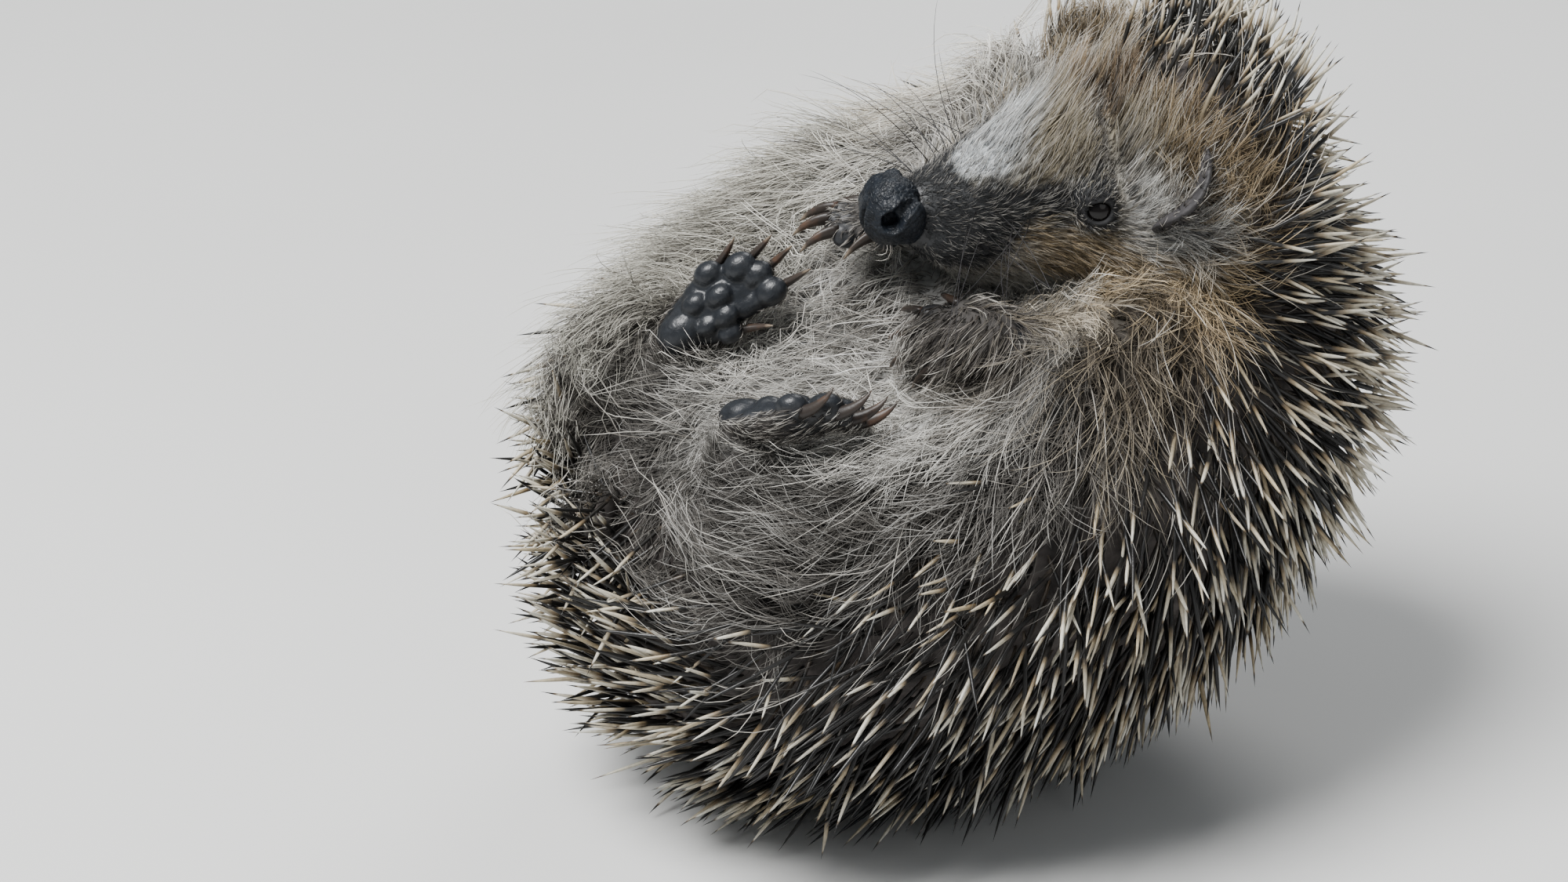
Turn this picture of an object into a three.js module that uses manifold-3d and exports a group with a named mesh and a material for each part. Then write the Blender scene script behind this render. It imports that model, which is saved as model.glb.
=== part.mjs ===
// A life-size European hedgehog that lies on its back, half curled, with its belly, face and feet to the open side.
// Each solid gives the outline out to the tips of the coat: quills on the back, long fur on the flanks, short fur
// on the face. The solids are worked out in the animal's own frame, in millimetres: +X to the head, +Y to the
// animal's left, +Z to its back. The last lines turn that frame over, on to the floor.
import * as THREE from "three";
import { mergeVertices } from "three/addons/utils/BufferGeometryUtils.js";
import Module from "manifold-3d";

const wasm = await Module();
wasm.setup();

// ---- Driving dimensions, mm and degrees ----
const GAP = 0.4; // left between two solids that meet
const TRUNK_PACE = 9.6; // the mesh sizes
const HEAD_PACE = 4.5;
const LEG_PACE = 4;
const LIE = { forward: [0.84, 0.228, 0.489], back: [0.345, 0.47, -0.815], sink: 5.8 }; // how it lies, and its flat
const QUILL_DEPTH = 10; // the coat over the skin of the back
const FUR_DEPTH = 4.5; // and over the skin of the flanks and belly
const FACE_DEPTH = { muzzle: 0.7, nape: 4.5, over: [-14, 16], eyes: [1, 9] }; // on the head; none at the eyes
// Where the quills begin: low on the flanks, higher at the rump, and across the crown.
const QUILL_LINE = { up: -24, rise: 9, rump: [38, 56], soft: 7 };
const CROWN_LINE = { ahead: 49, up: -52.5, facing: [0.917, -0.4], spread: 0.25 };
const TRUNK = { centre: [0.5, 0, 7], half: [69.5, 49, 49] };
const FLANK = { centre: [-3, 32, -9], half: [45, 18.5, 16.5] }; // the loose skin that rims the belly on each side
const SHOULDER = { centre: [41, -19.5, -29], half: [14, 13, 12] }; // the right one, bunched as the head turns left
const CROWN = { centre: [57, 0, -28], half: [16, 22, 17] }; // the quilled skin that wraps the back of the head
const FACE = { centre: [29, 0, -49], radius: 23 }; // the room that the crown leaves round the face
const EAR_ROOM = { at: [-11, -22, 10], radius: 9 }; // and the shoulder round the right ear, in the head's frame
const THIGH = { centre: [-36, 22, -16], radius: 14 };
const HOLLOW = { centre: [-6, 0, -68], half: [60, 44, 40] }; // the bowl that the belly lies in
const NAPE = { from: [43, 0, 0], facing: [0.95, 0, -0.3] }; // the plane that parts the neck from the trunk
const HEAD = { eyes: [41, 0, -38], turn: 148.5 }; // the middle between the eyes, and the head's turn from the trunk
// In the head's frame, +X to the nose, +Y to the left and +Z to the brow:
const SKULL = { centre: [-15, 0, -3], half: [21, 17.5, 15.5] };
const MUZZLE = { from: [0, 0, -5], to: [25.5, 0, -4], radii: [13.3, 6.8] };
const BRIDGE = { centre: [13, 0, -1], half: [8, 6.5, 6.5] };
const JAW = { from: [-10, 0, -13], to: [17, 0, -10.5], radii: [9.5, 6] };
const CHEEK = { centre: [-10, 10, -8], radius: 9 };
const EYE = { at: [2.2, 12.1, 1.4], radius: 3.1 };
const NOSE = { ahead: 33.4, drop: 1.8, half: [5.4, 5.7, 6.8] };
const EAR = { at: [-11, 18, 7], facing: [0.65, -0.7, 0.28], up: [0.4, 0.64, 0.65], half: [1.9, 8.7, 8.5], cup: 3 };
const CLAW = { length: 7.5, radius: 1.15, bend: 50 };
const DOME = 50; // how far round a rod's end its last ring is
const TAIL = { points: [[-58, 0, -18], [-58, 0, -27], [-53, 0, -34]], radii: [4.5, 3.6, 2.4] };

const radians = THREE.MathUtils.degToRad;
const clamp = THREE.MathUtils.clamp;
const step = THREE.MathUtils.smoothstep;
const lerp = THREE.MathUtils.lerp;

// ---- Distance fields: each takes a point and gives about how far it is outside the shape ----
const ellipsoid = (centre, half) => (p) => {
  const q = p.map((v, i) => v - centre[i]);
  const k0 = Math.hypot(...q.map((v, i) => v / half[i]));
  const k1 = Math.hypot(...q.map((v, i) => v / half[i] ** 2));
  return k1 > 0 ? (k0 * (k0 - 1)) / k1 : -Math.min(...half);
};
const ball = (centre, radius) => (p) => Math.hypot(...p.map((v, i) => v - centre[i])) - radius;
// A tapered rod with round ends.
const rod = (a, b, radiusA, radiusB) => (p) => {
  const along = b.map((v, i) => v - a[i]);
  const from = p.map((v, i) => v - a[i]);
  const dot = from.reduce((sum, v, i) => sum + v * along[i], 0);
  const t = clamp(dot / along.reduce((sum, v) => sum + v * v, 0), 0, 1);
  return Math.hypot(...from.map((v, i) => v - along[i] * t)) - lerp(radiusA, radiusB, t);
};
const blendTwo = (a, b, k) => {
  const h = Math.max(k - Math.abs(a - b), 0) / k;
  return Math.min(a, b) - h * h * k * 0.25;
};
const blend = (k, ...fields) => (p) => fields.map((f) => f(p)).reduce((a, b) => blendTwo(a, b, k));
const scooped = (k, body, hole) => (p) => -blendTwo(-body(p), hole(p), k);
const mirrored = (point) => [point[0], -point[1], point[2]];
const bothSides = (k, make) => blend(k, make((q) => q), make(mirrored));

// ---- Frames of the parts ----
const frame = (origin, forward, up) => {
  const x = new THREE.Vector3(...forward).normalize();
  const y = new THREE.Vector3(...up).cross(x).normalize();
  const z = new THREE.Vector3().crossVectors(x, y);
  return new THREE.Matrix4().makeBasis(x, y, z).setPosition(...origin);
};
const turn = radians(HEAD.turn);
const headFrame = frame(HEAD.eyes, [Math.cos(turn), 0, -Math.sin(turn)], [Math.sin(turn), 0, Math.cos(turn)]);
const headFrameBack = headFrame.clone().invert();
const inHead = (p) => new THREE.Vector3(...p).applyMatrix4(headFrameBack).toArray();
const fromHead = (q) => new THREE.Vector3(...q).applyMatrix4(headFrame).toArray();

// ---- The skin ----
const flanks = bothSides(1, (side) => ellipsoid(side(FLANK.centre), FLANK.half));
const shoulder = ellipsoid(SHOULDER.centre, SHOULDER.half);
const barrel = blend(10, ellipsoid(TRUNK.centre, TRUNK.half), flanks, shoulder);
const torso = scooped(16, barrel, ellipsoid(HOLLOW.centre, HOLLOW.half));
const thighs = bothSides(1, (side) => ball(side(THIGH.centre), THIGH.radius));
const trunkSkin = blend(16, torso, ellipsoid(CROWN.centre, CROWN.half), thighs);
const skull = blend(
  9,
  ellipsoid(SKULL.centre, SKULL.half),
  rod(MUZZLE.from, MUZZLE.to, ...MUZZLE.radii),
  rod(JAW.from, JAW.to, ...JAW.radii),
  ellipsoid(BRIDGE.centre, BRIDGE.half),
  bothSides(6, (side) => ball(side(CHEEK.centre), CHEEK.radius)),
);

// ---- The coat: how far it stands from the skin at a point ----
// Quills cover the back, down to a line low on the flanks, and the crown as far as the brow.
const quillSide = (p) => {
  const flank = p[2] - QUILL_LINE.up + QUILL_LINE.rise * step(-p[0], ...QUILL_LINE.rump);
  const ahead = p[0] - CROWN_LINE.ahead - CROWN_LINE.spread * Math.abs(p[1]);
  const crown = CROWN_LINE.facing[0] * ahead + CROWN_LINE.facing[1] * (p[2] - CROWN_LINE.up);
  return Math.max(flank, crown);
};
const trunkCoat = (p) => lerp(FUR_DEPTH, QUILL_DEPTH, step(quillSide(p), -QUILL_LINE.soft, QUILL_LINE.soft));
const faceCoat = (q) => {
  const deep = lerp(FACE_DEPTH.muzzle, FACE_DEPTH.nape, step(-q[0], ...FACE_DEPTH.over));
  return deep * step(Math.hypot(q[0], q[2]), ...FACE_DEPTH.eyes);
};

const room = blend(1, ball(FACE.centre, FACE.radius), ball(fromHead(EAR_ROOM.at), EAR_ROOM.radius));
const trunkField = scooped(6, (p) => trunkSkin(p) - trunkCoat(p), room);
const headField = (p) => {
  const q = inHead(p);
  return skull(q) - faceCoat(q);
};

// ---- Solids ----
const solidOf = (geometry) => {
  geometry.deleteAttribute("normal");
  geometry.deleteAttribute("uv");
  const merged = mergeVertices(geometry, 1e-4);
  const vertProperties = new Float32Array(merged.attributes.position.array);
  const triVerts = new Uint32Array(merged.index.array);
  return new wasm.Manifold(new wasm.Mesh({ numProp: 3, vertProperties, triVerts }));
};
const geometryOf = (solid) => {
  const mesh = solid.getMesh();
  const geometry = new THREE.BufferGeometry();
  geometry.setAttribute("position", new THREE.BufferAttribute(new Float32Array(mesh.vertProperties), 3));
  geometry.setIndex(new THREE.BufferAttribute(new Uint32Array(mesh.triVerts), 1));
  return geometry;
};

// Lets a point slide along the field's slope on to its surface.
const settle = (field, p, pace) => {
  const reach = pace * 0.05;
  for (let round = 0; round < 3; round++) {
    const value = field(p);
    const slope = [0, 1, 2].map((i) => {
      const q = [...p];
      q[i] += reach;
      return (field(q) - value) / reach;
    });
    const steep = slope.reduce((sum, v) => sum + v * v, 0) || 1;
    const move = clamp(value / steep, -pace * 0.4, pace * 0.4);
    p = p.map((v, i) => v - slope[i] * move);
  }
  return p;
};

// The surface of a field as a closed net: one corner in each cell that the surface crosses.
const net = (field, low, high, pace) => {
  const count = low.map((v, i) => Math.ceil((high[i] - v) / pace) + 1);
  const stride = [1, count[0], count[0] * count[1]];
  const place = (i, j, k) => [low[0] + i * pace, low[1] + j * pace, low[2] + k * pace];
  const values = new Float64Array(count[0] * count[1] * count[2]);
  for (let k = 0; k < count[2]; k++)
    for (let j = 0; j < count[1]; j++)
      for (let i = 0; i < count[0]; i++)
        values[i + j * stride[1] + k * stride[2]] = field(place(i, j, k));
  const corners = [];
  const cell = new Int32Array(values.length).fill(-1);
  const edges = [];
  for (let n = 0; n < 8; n++)
    for (let axis = 0; axis < 3; axis++) if (!((n >> axis) & 1)) edges.push([n, n | (1 << axis), axis]);
  for (let k = 0; k < count[2] - 1; k++)
    for (let j = 0; j < count[1] - 1; j++)
      for (let i = 0; i < count[0] - 1; i++) {
        const at = i + j * stride[1] + k * stride[2];
        const value = (n) => values[at + (n & 1) + ((n >> 1) & 1) * stride[1] + (n >> 2) * stride[2]];
        const sum = [0, 0, 0];
        let crossings = 0;
        for (const [a, b, axis] of edges) {
          const [va, vb] = [value(a), value(b)];
          if (va < 0 === vb < 0) continue;
          const spot = [a & 1, (a >> 1) & 1, a >> 2];
          spot[axis] = va / (va - vb);
          spot.forEach((v, n) => (sum[n] += v));
          crossings++;
        }
        if (!crossings) continue;
        cell[at] = corners.length;
        corners.push(settle(field, place(...sum.map((v, n) => v / crossings + [i, j, k][n])), pace));
      }
  const index = [];
  for (let at = 0; at < values.length; at++)
    for (let axis = 0; axis < 3; axis++) {
      const next = at + stride[axis];
      if (next >= values.length || values[at] < 0 === values[next] < 0) continue;
      const [u, v] = [stride[(axis + 1) % 3], stride[(axis + 2) % 3]];
      const quad = [cell[at - u - v], cell[at - v], cell[at], cell[at - u]];
      if (values[at] >= 0) quad.reverse();
      index.push(quad[0], quad[1], quad[2], quad[0], quad[2], quad[3]);
    }
  const geometry = new THREE.BufferGeometry();
  geometry.setAttribute("position", new THREE.Float32BufferAttribute(corners.flat(), 3));
  geometry.setIndex(index);
  return geometry;
};

// A closed round tube along points, with a radius at each point.
const tube = (points, radii, sides, up = [0, 0, 1]) => {
  const path = points.map((p) => new THREE.Vector3(...p));
  const position = [];
  const index = [];
  path.forEach((point, n) => {
    const ahead = path[Math.min(n + 1, path.length - 1)].clone().sub(path[Math.max(n - 1, 0)]).normalize();
    const side = new THREE.Vector3(...up).cross(ahead).normalize();
    const rise = new THREE.Vector3().crossVectors(ahead, side);
    for (let s = 0; s < sides; s++) {
      const round = (s / sides) * 2 * Math.PI;
      const spot = point.clone().addScaledVector(side, radii[n] * Math.cos(round));
      position.push(...spot.addScaledVector(rise, radii[n] * Math.sin(round)).toArray());
    }
  });
  for (let n = 0; n < path.length - 1; n++)
    for (let s = 0; s < sides; s++) {
      const [a, b] = [n * sides + s, n * sides + ((s + 1) % sides)];
      index.push(a, b, b + sides, a, b + sides, a + sides);
    }
  const last = (path.length - 1) * sides;
  for (let s = 1; s < sides - 1; s++) {
    index.push(0, s + 1, s);
    index.push(last, last + s, last + s + 1);
  }
  const geometry = new THREE.BufferGeometry();
  geometry.setAttribute("position", new THREE.Float32BufferAttribute(position, 3));
  geometry.setIndex(index);
  return geometry;
};

// A rod with domed ends, as a tube.
const limb = (points, radii, sides, up) => {
  const dome = (from, to, radius) => {
    const out = new THREE.Vector3(...from).sub(new THREE.Vector3(...to)).normalize();
    return new THREE.Vector3(...from).addScaledVector(out, radius * Math.sin(radians(DOME))).toArray();
  };
  const all = [dome(points[0], points[1], radii[0]), ...points, dome(points.at(-1), points.at(-2), radii.at(-1))];
  const shrink = Math.cos(radians(DOME));
  return tube(all, [radii[0] * shrink, ...radii, radii.at(-1) * shrink], sides, up);
};

const egg = (centre, half, wide, high) => {
  const geometry = new THREE.SphereGeometry(1, wide, high);
  return geometry.scale(...half).translate(...centre);
};

// The same closed mesh with each corner moved outwards, to cut a neighbour with.
const grown = (geometry, by = GAP) => {
  const made = geometry.clone();
  made.deleteAttribute("normal");
  made.deleteAttribute("uv");
  const whole = mergeVertices(made, 1e-4);
  whole.computeVertexNormals();
  const { position, normal } = whole.attributes;
  for (let n = 0; n < position.count; n++) {
    const move = (axis) => position[`get${axis}`](n) + normal[`get${axis}`](n) * by;
    position.setXYZ(n, move("X"), move("Y"), move("Z"));
  }
  return solidOf(whole);
};

const biggest = (solid) => solid.decompose().reduce((a, b) => (a.volume() > b.volume() ? a : b));

// ---- Paws and claws ----
// In a paw's frame +X runs to the toes, +Y to its outer side and +Z out of its upper side.
// Each toe: where it leaves the foot, where its pad is, and the pad's size.
const HIND_TOES = [
  { root: [1.5, -3.6, 0], tip: [4.8, -5.2, -0.2], pad: 1.8 },
  { root: [8.5, -3, 0.2], tip: [14.5, -3.6, 0], pad: 2.3 },
  { root: [8.5, -0.4, 0.4], tip: [14.2, 0, 0.3], pad: 2.2 },
  { root: [7, 2, 0.3], tip: [12.4, 2.8, 0], pad: 2.4 },
  { root: [3, 3.4, 0], tip: [7.4, 4.8, -0.2], pad: 2.1 },
];
const FORE_TOES = [
  { root: [2, -3.6, 0], tip: [4.8, -5, -0.3], pad: 1.7 },
  { root: [6.5, -2.8, 0], tip: [11.2, -3.9, -0.2], pad: 2.0 },
  { root: [7, -0.4, 0.3], tip: [12.2, -0.4, 0], pad: 2.1 },
  { root: [6.5, 1.9, 0.3], tip: [11.2, 2.9, 0], pad: 2.0 },
  { root: [3.5, 3.4, 0], tip: [7, 5, -0.3], pad: 1.8 },
];
const PAWS = {
  hind: { toes: HIND_TOES, sole: { centre: [3, 0, 0], half: [9.5, 5.2, 3.8] } },
  fore: { toes: FORE_TOES, sole: { centre: [2.5, 0, 0], half: [8.5, 5.2, 3.8] } },
};

const outward = (toe) => new THREE.Vector3(...toe.tip).sub(new THREE.Vector3(...toe.root)).setZ(0).normalize();

const pawGeometries = (kind) => {
  const { toes, sole } = PAWS[kind];
  const digits = toes.map((toe) => limb([toe.root, toe.tip], [toe.pad * 0.9, toe.pad], 5));
  return [egg(sole.centre, sole.half, 10, 6), ...digits];
};

const clawGeometry = (toe) => {
  const out = outward(toe);
  const segments = 3;
  const points = [];
  const radii = [];
  const start = new THREE.Vector3(...toe.tip).addScaledVector(out, toe.pad * 0.55).setZ(toe.tip[2] + 0.7);
  for (let n = 0; n <= segments; n++) {
    const share = n / segments;
    const bent = radians(CLAW.bend) * share;
    const ahead = (CLAW.length * Math.sin(bent)) / radians(CLAW.bend);
    const down = (CLAW.length * (1 - Math.cos(bent))) / radians(CLAW.bend);
    points.push(start.clone().addScaledVector(out, ahead).add(new THREE.Vector3(0, 0, -down)).toArray());
    radii.push(CLAW.radius * (1 - 0.78 * share ** 1.5));
  }
  return tube(points, radii, 6);
};

// Where each paw is, in the animal's frame: its ankle or wrist, the way its toes point, and the way its upper
// side faces. side is 1 on the left and -1 on the right.
const LIMBS = [
  {
    name: "hind",
    side: 1,
    at: [-24.6, 12.3, -41.2],
    toes: [0.88, 0.51, 0.1],
    upper: [-0.497, 0.787, 0.352],
    leg: [[-28, 24, -16, 13], [-38, 19, -26, 8.5], [-29, 10.5, -39.4, 4.8]],
  },
  {
    name: "hind",
    side: -1,
    at: [-25.5, -16.6, -38.5],
    toes: [0.97, 0.13, -0.21],
    upper: [0.05, -0.64, 0.77],
    leg: [[-28, -24, -16, 13], [-40, -22, -25, 8.5], [-28, -17.5, -36.5, 4.8]],
  },
  {
    name: "fore",
    side: 1,
    at: [13.5, 18.5, -36],
    toes: [-0.714, -0.674, 0.092],
    upper: [-0.2, 0.13, -0.97],
    leg: [[36, 26, -16, 12], [20, 29, -23, 7.5], [15.5, 20, -34.6, 4.8]],
  },
  {
    name: "fore",
    side: -1,
    at: [14, -9, -39],
    toes: [-0.84, -0.38, -0.33],
    upper: [0.43, -0.2, -0.82],
    leg: [[36, -26, -16, 12], [24, -24, -27, 7.5], [17, -10.5, -38, 4.8]],
  },
];
const sideName = (side) => (side > 0 ? "left" : "right");
const paws = LIMBS.map(({ name, side, at, toes, upper }) => {
  const mirror = new THREE.Matrix4().makeScale(1, side, 1);
  return { name, side, at: frame(at, toes, upper).multiply(mirror) };
});

// ---- The lie of the whole body, and the floor under it ----
const lie = frame([0, 0, 0], LIE.forward, LIE.back);
const body = net(trunkField, [-90, -72, -70], [96, 72, 76], TRUNK_PACE);
const lying = body.clone().applyMatrix4(lie);
lying.computeBoundingBox();
const floor = lying.boundingBox.min.z + LIE.sink;
const unlie = lie.clone().invert();
const floorPoint = new THREE.Vector3(0, 0, floor).applyMatrix4(unlie).toArray();
const floorFacing = new THREE.Vector3(0, 0, -1).applyMatrix4(unlie).toArray();

// A block that fills all that lies in front of a plane.
const halfSpace = (from, facing) => {
  const across = Math.abs(facing[1]) < 0.9 ? [0, 1, 0] : [1, 0, 0];
  return new THREE.BoxGeometry(400, 400, 400).translate(200, 0, 0).applyMatrix4(frame(from, facing, across));
};

// ---- Each part's plain geometry, before its neighbours are cut from it ----
const parts = new Map(); // name -> { geometry, colour, roughness }
const add = (name, geometry, colour, roughness = 0.8) => parts.set(name, { geometry, colour, roughness });

const COLOURS = { quills: 0x6f6350, fur: 0x8d8272, face: 0x5d554b, bare: 0x2b2a2c, claw: 0x6b4a35, eye: 0x0b0b0c };

const placed = (geometry, at, side) => {
  geometry.applyMatrix4(at);
  if (side < 0) geometry.setIndex([...geometry.index.array].reverse());
  return geometry;
};

const addClaws = () => {
  for (const { name, side, at } of paws) {
    PAWS[name].toes.forEach((toe, n) => {
      add(`claw_${name}_${sideName(side)}_${n + 1}`, placed(clawGeometry(toe), at, side), COLOURS.claw, 0.4);
    });
  }
};

const addPaws = () => {
  for (const { name, side, at } of paws) {
    const solids = pawGeometries(name).map((geometry) => solidOf(placed(geometry, at, side)));
    const paw = solids.reduce((a, b) => a.add(b));
    add(`${name}paw_${sideName(side)}`, geometryOf(paw), COLOURS.bare, 0.5);
  }
};

const addLegs = () => {
  for (const { name, side, leg } of LIMBS) {
    const [hip, knee, ankle] = leg.map(([x, y, z, radius]) => ({ at: [x, y, z], radius }));
    const upper = rod(hip.at, knee.at, hip.radius, knee.radius);
    const field = blend(5, upper, rod(knee.at, ankle.at, knee.radius, ankle.radius));
    const low = [0, 1, 2].map((i) => Math.min(...leg.map((p) => p[i] - p[3])) - LEG_PACE);
    const high = [0, 1, 2].map((i) => Math.max(...leg.map((p) => p[i] + p[3])) + LEG_PACE);
    add(`${name}leg_${sideName(side)}`, net(field, low, high, LEG_PACE), COLOURS.fur);
  }
};

const addEyesNoseEars = () => {
  for (const side of [1, -1]) {
    const [x, y, z] = EYE.at;
    const eye = egg(fromHead([x, y * side, z]), [EYE.radius, EYE.radius, EYE.radius], 12, 8);
    add(`eye_${sideName(side)}`, eye, COLOURS.eye, 0.1);
  }
  add("nose", egg([NOSE.ahead, 0, -NOSE.drop], NOSE.half, 14, 8).applyMatrix4(headFrame), COLOURS.bare, 0.4);
  for (const side of [1, -1]) {
    const ear = egg([0, 0, 0], EAR.half, 12, 8);
    const { position } = ear.attributes;
    for (let n = 0; n < position.count; n++) {
      const off = (position.getY(n) / EAR.half[1]) ** 2;
      position.setX(n, position.getX(n) + EAR.cup * off);
    }
    const stand = frame(EAR.at, EAR.facing, EAR.up).premultiply(new THREE.Matrix4().makeScale(1, side, 1));
    add(`ear_${sideName(side)}`, placed(ear, stand, side).applyMatrix4(headFrame), COLOURS.bare, 0.7);
  }
};

// The trunk and the neck are one shape, flat where it lies on the floor, and parted by a plane across the nape.
const addTrunk = () => {
  const whole = solidOf(body).subtract(solidOf(halfSpace(floorPoint, floorFacing)));
  const front = solidOf(halfSpace(NAPE.from, NAPE.facing));
  add("trunk", geometryOf(whole.subtract(front)), COLOURS.quills);
  add("neck", geometryOf(whole.intersect(front)), COLOURS.quills);
};
const addHead = () => add("head", net(headField, [-6, -30, -72], [84, 30, 4], HEAD_PACE), COLOURS.face);
const addTail = () => add("tail", limb(TAIL.points, TAIL.radii, 10, [1, 0, 0]), COLOURS.fur);

addEyesNoseEars();
addClaws();
addTrunk();
addTail();
addLegs();
addHead();
addPaws();

// ---- Parting: the parts in order, each cut back from all that come before it and reach it ----
const object = new THREE.Group();
const done = [];
for (const [name, part] of parts) {
  part.geometry.computeBoundingBox();
  let solid = solidOf(part.geometry.clone());
  const near = part.geometry.boundingBox.clone().expandByScalar(2);
  for (const other of done.filter((d) => near.intersectsBox(d.box))) solid = solid.subtract(other.grown);
  solid = biggest(solid);
  const material = new THREE.MeshStandardMaterial({ color: part.colour, roughness: part.roughness, metalness: 0 });
  const mesh = new THREE.Mesh(geometryOf(solid), material);
  mesh.name = name;
  object.add(mesh);
  done.push({ grown: grown(part.geometry), box: part.geometry.boundingBox });
}

// ---- Laying it down: turned on to its back, its flat on the floor and its middle over the origin ----
object.applyMatrix4(lie);
object.updateMatrixWorld(true);
const box = new THREE.Box3().setFromObject(object, true);
const middle = box.getCenter(new THREE.Vector3());
object.position.set(-middle.x, -middle.y, -floor);

export default object;
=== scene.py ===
import math

import bpy
import numpy as np
from mathutils import Matrix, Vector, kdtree

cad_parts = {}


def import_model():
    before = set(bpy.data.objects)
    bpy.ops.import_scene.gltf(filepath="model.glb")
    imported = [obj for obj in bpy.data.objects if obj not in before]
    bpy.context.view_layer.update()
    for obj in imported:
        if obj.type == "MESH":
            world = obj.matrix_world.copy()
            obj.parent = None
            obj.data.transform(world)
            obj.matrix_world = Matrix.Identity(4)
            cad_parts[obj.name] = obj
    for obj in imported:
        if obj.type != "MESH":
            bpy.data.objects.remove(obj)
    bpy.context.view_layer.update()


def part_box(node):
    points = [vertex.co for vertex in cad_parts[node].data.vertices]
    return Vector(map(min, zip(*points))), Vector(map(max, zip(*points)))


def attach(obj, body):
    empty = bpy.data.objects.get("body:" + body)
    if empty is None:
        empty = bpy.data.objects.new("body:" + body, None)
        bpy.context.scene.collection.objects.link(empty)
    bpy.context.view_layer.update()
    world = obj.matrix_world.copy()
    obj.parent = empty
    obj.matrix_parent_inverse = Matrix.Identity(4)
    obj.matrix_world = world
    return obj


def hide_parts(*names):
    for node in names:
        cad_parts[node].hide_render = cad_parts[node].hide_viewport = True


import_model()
random = np.random.default_rng(11)

# ---- The dimensions that the skin shares with the solids, mm and degrees ----
LIE_FORWARD = (0.84, 0.228, 0.489)
LIE_BACK = (0.345, 0.47, -0.815)
HEAD_EYES = (41, 0, -38)
HEAD_TURN = 148.5
EYE_AT = (2.2, 12.1, 1.4)
EYE_RADIUS = 3.1
LIDS_AT = (3.3, 14.7, 2.6)
NOSE_AT = (33.2, 0, -2.3)
NOSE_COBBLES = 560
EAR_AT = (-12, 18.3, 5.4)
EAR_OUT = (0.65, -0.7, 0.28)
EAR_UP = (0.4, 0.64, 0.65)
FACE_CENTRE = (29, 0, -49)
FACE_RADIUS = 25.5
SKIN_BOX = ((-78, -58, -76), (80, 58, 62))
SKIN_PACE = 1.0
CLAW_LENGTH = 7.5
CLAW_RADIUS = 1.1
CLAW_BEND = 50
SIDES = ((1, "left"), (-1, "right"))

# ---- The coat, mm and degrees ----
QUILL_LENGTH = 19.5
QUILL_WIDTH = (0.68, 0.95)
QUILL_GAP = 2.25
QUILL_LEAN = 31
FUR_LENGTH = 17
BELLY_FUR = 9.5
WHISKERS = 11  # on each side
MOST_IN_PIECE = 190000  # triangles
BODY_MIDDLE = (0, 0, 7)  # what the coat's map is unwrapped around
PAWS_MIDDLE = (0, 0, -30)

# ---- The picture: degrees, metres and watts; the lens in mm ----
CAMERA_RISE = 25
CAMERA_AWAY = 0.75
FOCAL = 101.25
SHIFT = (-0.1025, -0.00875)  # the photo's framing
SKY = (0.86, 0.93, 1.0, 1)
SKY_STRENGTH = 0.28
LIGHTS = (  # each one's name, place, size and power
    ("key", (-0.45, -0.35, 1.15), 0.7, 48),
    ("fill", (0.7, -1.0, 0.75), 0.9, 2.6),
    ("back", (0.3, 0.8, 1.0), 0.6, 8),
)


# ---- Numbers and vectors ----
def vec(*numbers):
    return np.array(numbers, float)


def length(v):
    return np.sqrt(np.einsum("...i,...i->...", v, v))


def unit(v):
    return v / np.maximum(length(v), 1e-9)[..., None]


def step(v, low, high):
    """Rises smoothly from 0 to 1 between low and high."""
    t = np.clip((v - low) / (high - low), 0, 1)
    return t * t * (3 - 2 * t)


def fall(v, low, high):
    return 1 - step(v, low, high)


def lerp(a, b, t):
    return a + (b - a) * t


def dot(a, b):
    return np.einsum("...i,...i->...", a, b)


def across(v, normal):
    """The part of v that lies along the surface."""
    return v - normal * dot(v, normal)[..., None]


class Frame:
    """An origin and three axes; local points go in and out. side -1 mirrors the local y."""

    def __init__(self, origin, forward, up, side=1):
        x = unit(np.array(forward, float))
        y = unit(np.cross(np.array(up, float), x))
        self.axes = vec(x, y * side, np.cross(x, y))
        self.origin = np.array(origin, float)

    def local(self, p):
        return (p - self.origin) @ self.axes.T

    def out(self, q):
        return np.asarray(q, float) @ self.axes + self.origin


# ---- Distance fields: points in, and about how far each is outside the shape out ----
def ellipsoid(centre, half):
    centre, half = np.array(centre, float), np.array(half, float)

    def field(p):
        q = p - centre
        k0, k1 = length(q / half), length(q / half**2)
        return k0 * (k0 - 1) / np.maximum(k1, 1e-9)

    return field


def ball(centre, radius):
    centre = np.array(centre, float)
    return lambda p: length(p - centre) - radius


def rod(a, b, radius_a, radius_b):
    a, b = np.array(a, float), np.array(b, float)
    along = b - a
    size = along @ along

    def field(p):
        q = p - a
        t = np.clip(q @ along / size, 0, 1)
        return length(q - t[..., None] * along) - lerp(radius_a, radius_b, t)

    return field


def blend_two(a, b, k):
    h = np.maximum(k - np.abs(a - b), 0) / k
    return np.minimum(a, b) - h * h * k * 0.25


def shaped(body, *changes):
    """A body with shapes blended on to it or, where the rounding k is negative, taken out of it."""

    def field(p):
        value = body(p)
        for shape, k in changes:
            value = blend_two(value, shape(p), k) if k > 0 else -blend_two(-value, shape(p), -k)
        return value

    return field


def blend(k, first, *others):
    return shaped(first, *[(shape, k) for shape in others])


def both_sides(k, make):
    return blend(k, make(lambda q: q), make(lambda q: (q[0], -q[1], q[2])))


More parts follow.
